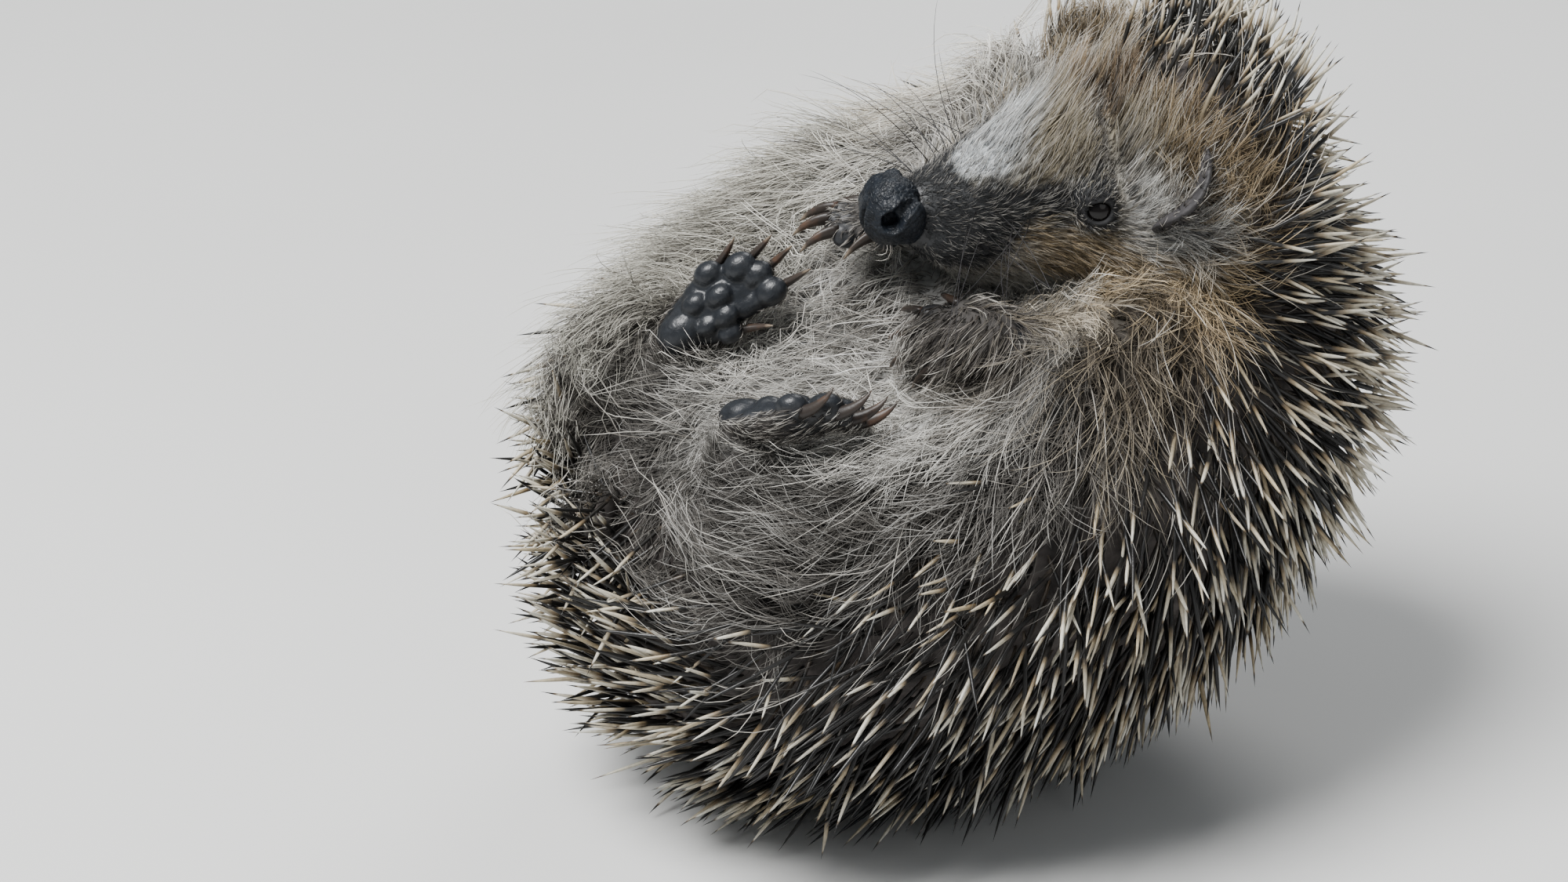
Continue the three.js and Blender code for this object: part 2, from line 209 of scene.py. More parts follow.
def near(field, centre, radius):
    """The field inside a ball; outside it, only the distance from the ball, and that is cheap."""
    centre = np.array(centre, float)

    def found(p):
        far = length(p - centre) - radius
        value = np.maximum(far, 0) + 9
        inside = far < 0
        if inside.any():
            value[inside] = np.minimum(field(p[inside]), 9)
        return value

    return found


# ---- The head's skin, in the head's frame: +X to the nose, +Y to its left, +Z to its brow ----
turn = math.radians(HEAD_TURN)
head = Frame(HEAD_EYES, (math.cos(turn), 0, -math.sin(turn)), (math.sin(turn), 0, math.cos(turn)))
GAZE = unit(vec(0.36, 0.84, 0.4))

skull = blend(
    9,
    ellipsoid((-15, 0, -3), (21, 17.5, 15.5)),
    rod((0, 0, -5), (25.5, 0, -4), 13.0, 6.4),
    rod((-10, 0, -13), (17, 0, -10.5), 9.2, 5.6),
    ellipsoid((13, 0, -1), (7.7, 6.2, 6.1)),
    both_sides(6, lambda side: ball(side((-10, 10, -8)), 9)),
)


def eye_changes(side):
    """The hollow before an eye, the ball that the lids wrap, and the almond opening between the lids."""
    mirror = vec(1, side, 1)
    centre = np.array(EYE_AT) * mirror
    gaze = GAZE * mirror
    corner = vec(1.0, 0, -0.12)  # from the almond's back corner to its front one
    level = unit(corner - gaze * (corner @ gaze))
    upper = np.cross(gaze, level) * side
    almond = ellipsoid((0, 0, 0), (2.15, 1.65, 2.8))

    def slit(q):
        r = q - (centre + gaze * 3.7)
        return almond(np.stack([r @ level, r @ upper + 0.035 * (r @ level) ** 2, r @ gaze], axis=-1))

    hollow = ball((5.2, 15.4 * side, -0.3), 2.6)
    return (hollow, -2.2), (ball(centre, EYE_RADIUS + 0.8), 1.2), (slit, -0.35)


def half_mouth(side):
    front, middle, back = side((29.5, 1.2, -9.8)), side((21, 7, -9.6)), side((9, 13, -9.3))
    return blend(0.5, rod(front, middle, 0.55, 0.6), rod(middle, back, 0.6, 0.4))


whisker_pads = both_sides(2, lambda side: ellipsoid(side((23.5, 5, -6.2)), (5.5, 3.2, 3.4)))
brows = both_sides(2, lambda side: ellipsoid(side((0.5, 11.6, 4.2)), (5, 2.2, 1.5)))
mouth = both_sides(1, half_mouth)
head_skin = shaped(skull, (whisker_pads, 3), (brows, 2.5), *eye_changes(1), *eye_changes(-1), (mouth, -0.8))


def nostril(side):
    """A comma-shaped hole, from the nose's middle around to its side."""
    rim_at, tail_at = (0.0, 4.8 * side, 3.9), (-2.2, 4.0 * side, 4.9)
    return blend(
        0.6,
        rod((2.4, 5.4 * side, 1.7), (1.8, 3.4 * side, 1.3), 1.75, 1.2),
        rod((2.2, 5.3 * side, 2.2), rim_at, 1.35, 0.95),
        rod(rim_at, tail_at, 0.85, 0.4),
    )


def nose_wing(side):
    wing = ellipsoid((0.2, 3.6 * side, 0.6), (3.6, 2.6, 4.2))
    rim = ellipsoid((-1.9, 4.4 * side, 0.4), (2.3, 1.8, 4.2))
    return (wing, 1.4), (rim, 1.0)


# The nose pad is domed, with a groove down its middle and a nostril on each side.
nose_dome = ellipsoid((0, 0, 0), (5.1, 4.9, 6.2))
nose_groove = ellipsoid((5.2, 0, -1.8), (1.3, 0.35, 4.2))
nostrils = [(nostril(side), -0.7) for side, _ in SIDES]
nose = shaped(nose_dome, *nose_wing(1), *nose_wing(-1), (nose_groove, -0.8), *nostrils)


def nose_field(q):
    return nose(q - np.array(NOSE_AT))


# ---- Paws, in a paw's frame: +X to the toes, +Y to the outer side, +Z out of the upper side ----
# Each toe: where it leaves the foot, where its pad is, and the pad's size.
HIND_TOES = (
    ((1.5, -3.6, 0), (4.8, -5.2, -0.2), 1.8),
    ((8.5, -3, 0.2), (14.5, -3.6, 0), 2.3),
    ((8.5, -0.4, 0.4), (14.2, 0, 0.3), 2.2),
    ((7, 2, 0.3), (12.4, 2.8, 0), 2.4),
    ((3, 3.4, 0), (7.4, 4.8, -0.2), 2.1),
)
FORE_TOES = (
    ((2, -3.6, 0), (4.8, -5, -0.3), 1.7),
    ((6.5, -2.8, 0), (11.2, -3.9, -0.2), 2.0),
    ((7, -0.4, 0.3), (12.2, -0.4, 0), 2.1),
    ((6.5, 1.9, 0.3), (11.2, 2.9, 0), 2.0),
    ((3.5, 3.4, 0), (7, 5, -0.3), 1.8),
)
# Each cushion of the sole: where it is and its size.
HIND_PADS = (
    ((-2.6, -0.3, -1.3), 3.1),
    ((2.3, 1.9, -2.0), 1.75),
    ((6.6, 0.7, -2.1), 1.8),
    ((5.6, -2.6, -2.0), 1.7),
    ((2.0, -2.2, -2.0), 1.5),
)
FORE_PADS = (
    ((-2.2, 0, -1.4), 2.8),
    ((2.2, 2.0, -2.0), 1.6),
    ((5.2, 0.6, -2.1), 1.7),
    ((4.2, -2.2, -2.0), 1.6),
)
# Each kind of paw: its toes, its cushions, and its palm's middle and half size.
PAWS = {
    "hind": (HIND_TOES, HIND_PADS, ((3, 0, 0.3), (9.2, 4.6, 2.9))),
    "fore": (FORE_TOES, FORE_PADS, ((2.5, 0, 0.3), (8.2, 4.6, 2.9))),
}
# Each limb: the ankle or wrist, the way the toes point, the way the paw's upper side faces, and the leg as
# three places with its thickness there.
LIMBS = (
    ("hind", 1, (-24.6, 12.3, -41.2), (0.88, 0.51, 0.1), (-0.497, 0.787, 0.352),
     ((-28, 24, -16, 13), (-38, 19, -26, 8.5), (-29, 10.5, -39.4, 4.8))),
    ("hind", -1, (-25.5, -16.6, -38.5), (0.97, 0.13, -0.21), (0.05, -0.64, 0.77),
     ((-28, -24, -16, 13), (-40, -22, -25, 8.5), (-28, -17.5, -36.5, 4.8))),
    ("fore", 1, (13.5, 18.5, -36), (-0.714, -0.674, 0.092), (-0.2, 0.13, -0.97),
     ((36, 26, -16, 12), (20, 29, -23, 7.5), (15.5, 20, -34.6, 4.8))),
    ("fore", -1, (14, -9, -39), (-0.84, -0.38, -0.33), (0.43, -0.2, -0.82),
     ((36, -26, -16, 12), (24, -24, -27, 7.5), (17, -10.5, -38, 4.8))),
)


def paw_skin(kind):
    toes, pads, (palm_at, palm_half) = PAWS[kind]
    bones = [(rod(root, tip, pad * 0.86, pad * 0.74), 1.1) for root, tip, pad in toes]
    bulbs = [(ellipsoid((x - 0.5, y, z - 0.75), (s * 1.25, s, s * 0.92)), 0.5) for _, (x, y, z), s in toes]
    cuffs = [(ball((x + 0.5, y, z + 0.5), s * 0.62), 0.5) for _, (x, y, z), s in toes]
    cushions = [(ellipsoid(at, (size * 1.38, size * 1.04, size * 0.9)), 0.45) for at, size in pads]
    return shaped(ellipsoid(palm_at, palm_half), *bones, *bulbs, *cuffs, *cushions)


paw_frames = [Frame(at, toes, upper, side) for _, side, at, toes, upper, _ in LIMBS]
FOREARM = paw_frames[2].out((2, 0, 0))  # a place on the left foreleg, near the wrist


def paw_field(n):
    made = paw_skin(LIMBS[n][0])
    return near(lambda p: made(paw_frames[n].local(p)), paw_frames[n].out((5, 0, 0)), 20)


def leg_field(n):
    *_, leg = LIMBS[n]
    hip, knee, ankle = [(np.array(place[:3]), place[3] - 1.6) for place in leg]
    made = blend(5, rod(hip[0], knee[0], hip[1], knee[1]), rod(knee[0], ankle[0], knee[1], ankle[1] + 0.2))
    return near(made, (hip[0] + ankle[0]) / 2, 42)


# ---- The whole skin, in the animal's frame ----
rims = both_sides(1, lambda side: ellipsoid(side((-3, 32, -9)), (45, 18.5, 16.5)))
thighs = both_sides(1, lambda side: ball(side((-36, 22, -16)), 14))
right_shoulder = ellipsoid((41, -19.5, -29), (14, 13, 12))
belly_hollow = ellipsoid((-6, 0, -68), (60, 44, 40))
crown_bulge = ellipsoid((57, 0, -28), (16, 22, 17))
face_room = blend(1, ball(FACE_CENTRE, FACE_RADIUS), ball(head.out((-11, -22, 10)), 11.5))
trunk = shaped(
    ellipsoid((0.5, 0, 7), (69.5, 49, 49)),
    (rims, 10), (right_shoulder, 10), (belly_hollow, -16), (crown_bulge, 16), (thighs, 16), (face_room, -6),
)
tail_base, tail_bend, tail_tip = (-57, 0, -18), (-57, 0, -26), (-52, 0, -32)
tail = blend(2, rod(tail_base, tail_bend, 3.2, 2.4), rod(tail_bend, tail_tip, 2.4, 1.4))
tail = near(tail, (-55, 0, -26), 20)
head_middle = head.out((2, 0, -4))
head_part = near(lambda p: head_skin(head.local(p)), head_middle, 46)
legs = [leg_field(n) for n in range(4)]
feet = [paw_field(n) for n in range(4)]
joined = [(leg, 6) for leg in legs] + [(tail, 3), (head_part, 3)] + [(foot, 1.2) for foot in feet]
skin_field = shaped(trunk, *joined)


# ---- Nets: the surface of a field as a mesh ----
def grid_of(field, low, high, pace):
    """The field's values on a grid, worked out fully only near the surface."""
    coarse = 3
    low = np.array(low, float)
    count = ((np.array(high) - low) / (pace * coarse)).astype(int) + 2
    rough_axes = [low[i] + np.arange(count[i]) * pace * coarse for i in range(3)]
    rough = field(np.stack(np.meshgrid(*rough_axes, indexing="ij"), -1).reshape(-1, 3)).reshape(count)
    fine = rough
    for axis in range(3):
        n = fine.shape[axis]
        at = np.arange((n - 1) * coarse + 1) / coarse
        i = np.minimum(at.astype(int), n - 2)
        t = (at - i).reshape([-1 if a == axis else 1 for a in range(3)])
        fine = np.take(fine, i, axis) * (1 - t) + np.take(fine, i + 1, axis) * t
    band = np.argwhere(np.abs(fine) < pace * coarse * 1.3)
    fine[tuple(band.T)] = field(low + band * pace)
    return low, pace, fine


def surface_net(grid):
    """Corners and square faces of the surface where the grid's values pass zero."""
    low, pace, values = grid
    inside = values < 0
    cells = tuple(n - 1 for n in values.shape)
    corners = list(np.ndindex(2, 2, 2))
    count = np.zeros(cells, np.int8)
    for corner in corners:
        count += inside[tuple(slice(c, c + n) for c, n in zip(corner, cells))]
    active = np.argwhere((count > 0) & (count < 8))
    total = np.zeros((len(active), 3))
    hits = np.zeros(len(active))
    at = {c: values[tuple((active + c).T)] for c in corners}
    for a in corners:
        for axis in range(3):
            if a[axis]:
                continue
            b = tuple(1 if n == axis else v for n, v in enumerate(a))
            crossed = (at[a] < 0) != (at[b] < 0)
            share = at[a] / np.where(crossed, at[a] - at[b], 1)
            spot = np.array(a, float) + share[:, None] * np.eye(3)[axis]
            total += np.where(crossed[:, None], spot, 0)
            hits += crossed
    points = low + (active + total / hits[:, None]) * pace
    number = np.full(cells, -1, np.int64)
    number[tuple(active.T)] = np.arange(len(active))
    quads = []
    for axis in range(3):
        u, v = (axis + 1) % 3, (axis + 2) % 3
        ahead = np.eye(3, dtype=int)
        first = [slice(1, n - 1) for n in values.shape]
        second = list(first)
        first[axis], second[axis] = slice(None, -1), slice(1, None)
        edges = np.argwhere(inside[tuple(first)] != inside[tuple(second)]) + (1 - ahead[axis])
        c = [edges - ahead[u] - ahead[v], edges - ahead[v], edges, edges - ahead[u]]
        quad = np.stack([number[tuple(e.T)] for e in c], 1)
        flip = ~inside[tuple(edges.T)]
        quad[flip] = quad[flip][:, ::-1]
        quads.append(quad)
    return points, np.concatenate(quads)


def settle(field, p, reach):
    """Slides points along the field's slope on to its surface."""
    for _ in range(3):
        value = field(p)
        slope = np.stack([(field(p + reach * axis) - value) / reach for axis in np.eye(3)], -1)
        steep = np.maximum(dot(slope, slope), 0.05)
        p = p - slope * np.clip(value / steep, -reach * 6, reach * 6)[:, None]
    return p


def refine(points, tris, wanted):
    """Splits the triangles between wanted points in four, and their neighbours to suit."""
    edges = np.sort(tris[:, [0, 1, 1, 2, 2, 0]].reshape(-1, 2), 1)
    key = edges[:, 0] * len(points) + edges[:, 1]
    unique, first, back = np.unique(key, return_index=True, return_inverse=True)
    pair = edges[first]
    cut = wanted[pair].all(1)
    middle = np.full(len(unique), -1)
    middle[cut] = len(points) + np.arange(cut.sum())
    made = points[pair[cut]].mean(1)
    mids = middle[back.reshape(-1)].reshape(-1, 3)
    cuts = (mids >= 0).sum(1)
    out = [tris[cuts == 0]]

    def split(pick, start, parts):
        """Makes triangles from old ones' corners 0 to 2 and sides' middles 3 to 5, counted from start."""
        six = np.concatenate([np.roll(tris[pick], -start, 1), np.roll(mids[pick], -start, 1)], 1)
        out.extend(six[:, list(part)] for part in parts)

    split(cuts == 3, 0, ((0, 3, 5), (3, 1, 4), (5, 4, 2), (3, 4, 5)))
    for n in range(3):
        split((cuts == 1) & (mids[:, n] >= 0), n, ((0, 3, 2), (3, 1, 2)))
        split((cuts == 2) & (mids[:, n] < 0), n, ((0, 1, 4), (0, 4, 5), (5, 4, 2)))
    return np.concatenate([points, made]), np.concatenate(out)


def normals_of(points, tris):
    a, b, c = points[tris].transpose(1, 0, 2)
    face = np.repeat(np.cross(b - a, c - a), 3, axis=0)
    return unit(np.stack([np.bincount(tris.ravel(), along, len(points)) for along in face.T], 1))


def tube_walls(rings, sides):
    """The square faces between the rings of a tube."""
    i, s = np.meshgrid(np.arange(rings - 1), np.arange(sides), indexing="ij")
    a, b = i * sides + s, i * sides + (s + 1) % sides
    return np.stack([a, b, b + sides, a + sides], -1).reshape(-1, 4)


def tree_of(points):
    tree = kdtree.KDTree(len(points))
    for n, point in enumerate(points):
        tree.insert(point, n)
    tree.balance()
    return tree


# ---- From the animal's frame to the world ----
lie = Frame((0, 0, 0), LIE_FORWARD, LIE_BACK).axes
eye_mid = np.mean([np.mean(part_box(f"eye_{name}"), axis=0) for _, name in SIDES], axis=0) * 1000
lie_at = eye_mid - head.out((EYE_AT[0], 0, EYE_AT[2])) @ lie


def world(p):
    """Metres in the row frame."""
    return (p @ lie + lie_at) / 1000


def height(p):
    """Millimetres over the floor."""
    return p @ lie[:, 2] + lie_at[2]


# ---- Making Blender meshes ----
def mesh_piece(name, points, sizes, corners, slot, material, values=None, tint=None, patch=None):
    """A mesh that rides the body. sizes says how many corners each face has; patch is the map OFBake."""
    mesh = bpy.data.meshes.new(name)
    mesh.vertices.add(len(points))
    mesh.vertices.foreach_set("co", world(points).astype(np.float32).ravel())
    mesh.loops.add(len(corners))
    mesh.loops.foreach_set("vertex_index", corners.astype(np.int32))
    mesh.polygons.add(len(sizes))
    mesh.polygons.foreach_set("loop_start", (np.cumsum(sizes) - sizes).astype(np.int32))
    mesh.polygons.foreach_set("use_smooth", np.ones(len(sizes), bool))
    mesh.update(calc_edges=True)
    for key, value in (values or {}).items():
        layer = mesh.attributes.new(key, "FLOAT", "POINT")
        layer.data.foreach_set("value", value.astype(np.float32))
    if tint is not None:
        layer = mesh.attributes.new("tint", "FLOAT_COLOR", "POINT")
        rgba = np.concatenate([tint, np.ones((len(tint), 1))], 1)
        layer.data.foreach_set("color", rgba.astype(np.float32).ravel())
    if patch is not None:
        layer = mesh.uv_layers.new(name="OFBake")
        layer.data.foreach_set("uv", patch[corners].astype(np.float32).ravel())
    piece = bpy.data.objects.new(name, mesh)
    bpy.context.scene.collection.objects.link(piece)
    mesh.materials.append(material)
    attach(piece, "root")
    return piece


def triangles(quads):
    return np.concatenate([quads[:, [0, 1, 2]], quads[:, [0, 2, 3]]])


def tri_piece(name, points, tris, slot, material, **more):
    return mesh_piece(name, points, np.full(len(tris), 3), tris.ravel(), slot, material, **more)


def small_net(field, centre, half, pace):
    """The surface of a small field, as points and triangles."""
    centre, half = np.array(centre, float), np.array(half, float)
    points, quads = surface_net(grid_of(field, centre - half, centre + half, pace))
    return settle(field, points, pace * 0.1), triangles(quads)


# ---- Materials ----
class Nodes:
    """A short way to write a material's nodes."""

    def __init__(self, name, **inputs):
        self.material = bpy.data.materials.new(name)
        self.material.use_nodes = True
        self.tree = self.material.node_tree
        self.shader = self.tree.nodes["Principled BSDF"]
        self.set(**inputs)

    def add(self, kind, inputs=None, **settings):
        node = self.tree.nodes.new(kind)
        for key, value in settings.items():
            setattr(node, key, value)
        for key, value in (inputs or {}).items():
            self.put(node.inputs[key], value)
        return node

    def put(self, socket, value):
        if isinstance(value, bpy.types.NodeSocket):
            self.tree.links.new(value, socket)
        else:
            socket.default_value = value

    def set(self, **inputs):
        for key, value in inputs.items():
            self.put(self.shader.inputs[key.replace("_", " ")], value)

    def value(self, name):
        return self.add("ShaderNodeAttribute", attribute_name=name).outputs["Fac"]

    def tint(self):
        return self.add("ShaderNodeAttribute", attribute_name="tint").outputs["Color"]

    def math(self, kind, a, b=0.0, c=0.0):
        return self.add("ShaderNodeMath", {0: a, 1: b, 2: c}, operation=kind).outputs[0]

    def shuffled(self, value, times):
        """Another random number from 0 to 1, made from a first one."""
        return self.math("FRACT", self.math("MULTIPLY", value, times))

    def ramp(self, factor, *stops):
        """A colour, or a grey, for each place along factor."""
        node = self.add("ShaderNodeValToRGB", {"Fac": factor})
        band = node.color_ramp
        while len(band.elements) < len(stops):
            band.elements.new(0.5)
        for element, (at, colour) in zip(band.elements, stops):
            element.position = at
            element.color = (*np.broadcast_to(colour, 3), 1)
        return node.outputs["Color"]

    def mix(self, factor, a, b, kind="MIX"):
        node = self.add("ShaderNodeMix", data_type="RGBA", blend_type=kind)
        for n, value in ((0, factor), (6, a), (7, b)):
            self.put(node.inputs[n], value)
        return node.outputs[2]

    def times(self, a, b):
        return self.mix(1.0, a, b, "MULTIPLY")

    def place(self):
        return self.add("ShaderNodeTexCoord").outputs["Object"]

    def noise(self, scale, detail=3.0, **inputs):
        inputs.update(Vector=self.place(), Scale=scale, Detail=detail)
        return self.add("ShaderNodeTexNoise", inputs).outputs[0]

    def bump(self, height, distance, strength=1.0, **under):
        inputs = {"Height": height, "Distance": distance, "Strength": strength, **under}
        return self.add("ShaderNodeBump", inputs).outputs[0]


def skin_material():
    n = Nodes("skin", Specular_IOR_Level=0.3)
    bare = n.value("bare")
    n.set(Base_Color=n.times(n.tint(), n.ramp(n.noise(900, 4), (0.3, 0.72), (0.7, 1.2))))
    n.set(Roughness=n.math("MULTIPLY_ADD", bare, -0.42, 0.78))
    furred = n.math("MULTIPLY_ADD", bare, -0.85, 1.0)
    soft = n.bump(n.math("MULTIPLY", n.noise(520, 5), furred), 0.0005, 0.5)
    ridges = n.math("MULTIPLY", n.noise(900, 2, Distortion=1.5), bare)
    n.set(Normal=n.bump(ridges, 0.00016, 0.5, Normal=soft))
    return n.material


def quill_material():
    """Most quills are dark, then cream with a dark tip. A few are plain and pale, and some are all dark,
    more of them where a painted shade falls on the flank.
    """
    n = Nodes("quill", Roughness=0.36, Specular_IOR_Level=0.4)
    fate = n.value("fate")
    at = n.math("MULTIPLY_ADD", fate, 0.1, n.math("ADD", n.value("along"), -0.05))
    dark = (0.009, 0.0085, 0.008)
    root = (0.0, (0.12, 0.1, 0.08))
    cream = ((0.62, (0.17, 0.135, 0.09)), (0.68, (0.35, 0.315, 0.245)), (0.88, (0.5, 0.485, 0.43)))
    tip = ((0.905, (0.12, 0.09, 0.06)), (0.93, dark))
    banded = n.ramp(at, root, (0.1, (0.05, 0.04, 0.032)), (0.2, dark), (0.54, dark), *cream, *tip)
    straw = ((0.4, (0.22, 0.19, 0.14)), (0.88, (0.46, 0.43, 0.35)))
    plain = n.ramp(at, root, *straw, (0.95, (0.1, 0.08, 0.06)))
    pale = n.math("GREATER_THAN", n.shuffled(fate, 7.0), 0.93)
    # Painted shade: more quills are all dark where the flank lies in shade.
    share = n.math("MULTIPLY_ADD", n.value("dusk"), 0.4, 0.22)
    black = n.math("LESS_THAN", n.shuffled(fate, 29.0), share)
    tones = ((0.0, (0.78, 0.68, 0.52)), (0.4, (0.95, 0.92, 0.86)), (1.0, (1.08, 1.1, 1.1)))
    shade = n.times(n.mix(pale, banded, plain), n.ramp(n.shuffled(fate, 13.0), *tones))
    shade = n.mix(black, shade, (*dark, 1))
    n.set(Base_Color=n.times(shade, n.ramp(n.noise(1500, 2), (0.3, 0.8), (0.7, 1.12))))
    n.set(Normal=n.bump(n.noise(2600, 2), 0.0001, 0.3))
    return n.material


def hair_material():
    """Each hair is darker at its root and paler at its tip, partly its own colour and partly a painted
    shade deep in the coat.
    """
    n = Nodes("hair", Roughness=0.5, Specular_IOR_Level=0.32)
    root = ((0.0, (0.2, 0.19, 0.18)), (0.35, (0.55, 0.53, 0.51)))
    tip = ((0.7, (1.05, 1.04, 1.02)), (1.0, (1.42, 1.41, 1.38)))
    n.set(Base_Color=n.times(n.tint(), n.ramp(n.value("along"), *root, *tip)))
    n.set(Normal=n.bump(n.noise(3000, 2), 0.00005, 0.25))
    return n.material


def nose_material():
    n = Nodes("nose", Roughness=0.4, Specular_IOR_Level=0.17)
    n.set(Base_Color=n.ramp(n.noise(700, 4), (0.3, (0.0028, 0.0036, 0.005)), (0.7, (0.0085, 0.011, 0.015))))
    inputs = {"Vector": n.place(), "Scale": 1700.0}
    cells = n.add("ShaderNodeTexVoronoi", inputs, feature="DISTANCE_TO_EDGE").outputs[0]
    cobbles = n.bump(n.math("MINIMUM", cells, 0.14), 0.0005, 0.6)
    n.set(Normal=n.bump(n.noise(3200, 3), 0.0001, 0.4, Normal=cobbles))
    return n.material


def claw_material():
    n = Nodes("claw", Roughness=0.4, Specular_IOR_Level=0.25)
    along = n.math("ADD", n.value("along"), n.math("MULTIPLY", n.noise(700, 3), 0.25))
    root = ((0.05, (0.012, 0.01, 0.009)), (0.45, (0.022, 0.017, 0.014)))
    horn = n.ramp(along, *root, (0.85, (0.034, 0.026, 0.021)), (1.1, (0.14, 0.11, 0.08)))
    amber = n.ramp(n.noise(260, 2), (0.55, 0), (0.67, 1))
    n.set(Base_Color=n.mix(n.math("MULTIPLY", amber, 0.22), horn, (0.15, 0.07, 0.035, 1)))
    n.set(Normal=n.bump(n.noise(1500, 3), 0.0001, 0.35))
    return n.material


def eye_material():
    n = Nodes("eye", Roughness=0.11, IOR=1.31)
    n.set(Base_Color=n.ramp(n.noise(400, 2), (0.3, (0.0035, 0.003, 0.003)), (0.7, (0.007, 0.0055, 0.005))))
    return n.material


SKIN, QUILL, HAIR = skin_material(), quill_material(), hair_material()
NOSE, CLAW, EYE = nose_material(), claw_material(), eye_material()


# ---- Where each kind of coat grows ----
def waves(p, size, seed=0):
    """Smooth noise between about -1 and 1."""
    turns = vec((0.8, 0.5, -0.33), (-0.4, 0.77, 0.5), (0.45, -0.35, 0.82), (0.62, 0.61, 0.49))
    at = p @ turns.T * (2 * math.pi / size) + seed * vec(1.3, 2.1, 3.7, 4.9)
    bent = at + 0.8 * np.sin(at[..., [1, 2, 3, 0]] * 0.63)
    return np.sin(bent).sum(-1) / 2.4


def quill_side(p):
    """Over 0 where quills grow: the back, down to a line low on the flanks, and the crown to the brow."""
    x, y, z = p.T
    rump = 9 * step(-x, 38, 56)
    shoulder = 4 * step(x, 6, 28) * fall(x, 50, 62)
    flank = z + 24 + rump - shoulder
    brow_line = x - 49 - 0.25 * np.abs(y) - 0.4 * np.maximum(y, 0)
    crown = 0.917 * brow_line - 0.4 * (z + 52.5)
    folded = 17 * step(-y, 9, 21) * step(x, 39, 47)  # the crown is folded over the right ear
    nape = 5 * step(x, 50, 58) * step(y, 6, 14) * step(z, -34, -26)
    return np.maximum(flank, crown) + folded + nape


def fur_side(p):
    """quill_side, but with the fur's line set higher up the right flank."""
    x, y, z = p.T
    return quill_side(p) - 9 * step(-y, 6, 22) * step(-z, 4, 16) * fall(x, 30, 40)


def around(p, centre, reach, soft):
    """1 near a place, falling to 0 at the distance reach from it."""
    return step(reach - length(p - np.array(centre)), 0, soft)


def to_nearer(q, place):
    """How far points are from a place or from its mirror image, in the head's frame."""
    return np.min([length(q - np.array(place) * vec(1, side, 1)) for side, _ in SIDES], 0)


def on_head(p):
    """1 on the face, falling to 0 behind the ears and under the chin."""
    q = head.local(p)
    front = step(q[:, 0], -17, -7) * fall(quill_side(p), -1.5, 1.5)
    return front * step(-head_skin(q), -4.5, -2.5)


def on_paws(p, grow=0.0):
    """1 on the paws, 0 on the rest."""
    value = np.min([foot(p) for foot in feet], 0)
    return fall(value, 0.35 + grow, 1.4 + grow)


def on_body(weight, p, grow):
    """The weight of a coat that grows neither on the face nor on the paws."""
    return weight * (1 - on_head(p)) * (1 - on_paws(p, grow))


def sole_of(p):
    """1 on the soles, the digits' undersides and the toe tips, 0 on the hairy upper sides."""
    bare = np.zeros(len(p))
    for n, paw in enumerate(paw_frames):
        q = paw.local(p)
        near_paw = (length(q - vec(5, 0, 0)) < 14) & (q[:, 0] > -6.5)
        under = fall(q[:, 2], -0.6, 0.9)
        # The left hind foot's toes are nearly bare on top.
        tips = step(q[:, 0], 3, 7) * 0.85 if n == 0 else step(q[:, 0], 8.5, 11) * 0.75
        bare = np.maximum(bare, near_paw * np.maximum(under, tips))
    return bare * on_paws(p)


# ---- Markings, in linear light: the same for skin and coat ----
FLANK = vec(0.066, 0.062, 0.057)
FAR_FLANK = vec(0.2, 0.19, 0.168)
BELLY = vec(0.58, 0.57, 0.54)
HIP = vec(0.08, 0.075, 0.068)
SHOULDER = vec(0.075, 0.062, 0.045)
FAR_SHOULDER = vec(0.36, 0.31, 0.24)
CHEEK = vec(0.32, 0.25, 0.155)
BROW = vec(0.2, 0.175, 0.125)
CROWN_TAN = vec(0.12, 0.085, 0.05)
PARTING_SHADOW = vec(0.045, 0.04, 0.034)
NAPE_TAN = vec(0.24, 0.18, 0.105)
SILVER = vec(0.44, 0.465, 0.48)
GREY = vec(0.43, 0.43, 0.415)
MASK = vec(0.021, 0.022, 0.0235)
FOOT = vec(0.075, 0.068, 0.062)
SOLE = vec(0.011, 0.0125, 0.015)
CHIN = vec(0.42, 0.41, 0.38)
THROAT = vec(0.1, 0.09, 0.076)
FRINGE = vec(0.75, 0.74, 0.7)
GOLD = vec(0.36, 0.275, 0.16)
STRAW = vec(0.42, 0.36, 0.265)
LID = vec(0.006, 0.006, 0.0065)
EAR_HIDES = np.array([[0.028, 0.026, 0.027], [0.12, 0.095, 0.06]])  # left, right
EAR_HAIR = np.array([[0.05, 0.044, 0.037], [0.2, 0.155, 0.095]])
HIP_HAIR = vec(0.36, 0.355, 0.34)
SHOULDER_HAIR = vec(0.33, 0.28, 0.2)
FAR_HAIR = vec(0.55, 0.54, 0.48)
FACE_HAIR = vec(0.4, 0.385, 0.355)
PALE_HAIR = vec(0.5, 0.48, 0.44)
WHISKER = vec(0.012, 0.011, 0.012)


def mask_on(q):
    """The dark mask, in the head's frame: the muzzle, and a band on each side that narrows to the eye."""
    x, y, z = q.T
    top = -1.4 + 1.0 * step(x, 12, 20) + 9.5 * step(x, 20, 25)
    bottom = lerp(-1.4, -12, step(x, 12.5, 19))
    band = step(top - (z - 0.9 * np.abs(y)) + 1.2 * waves(q, 7, 5), -1.6, 2.2) * step(z - bottom, -1.4, 1.6)
    return band * step(x, -1.2, 1.0)


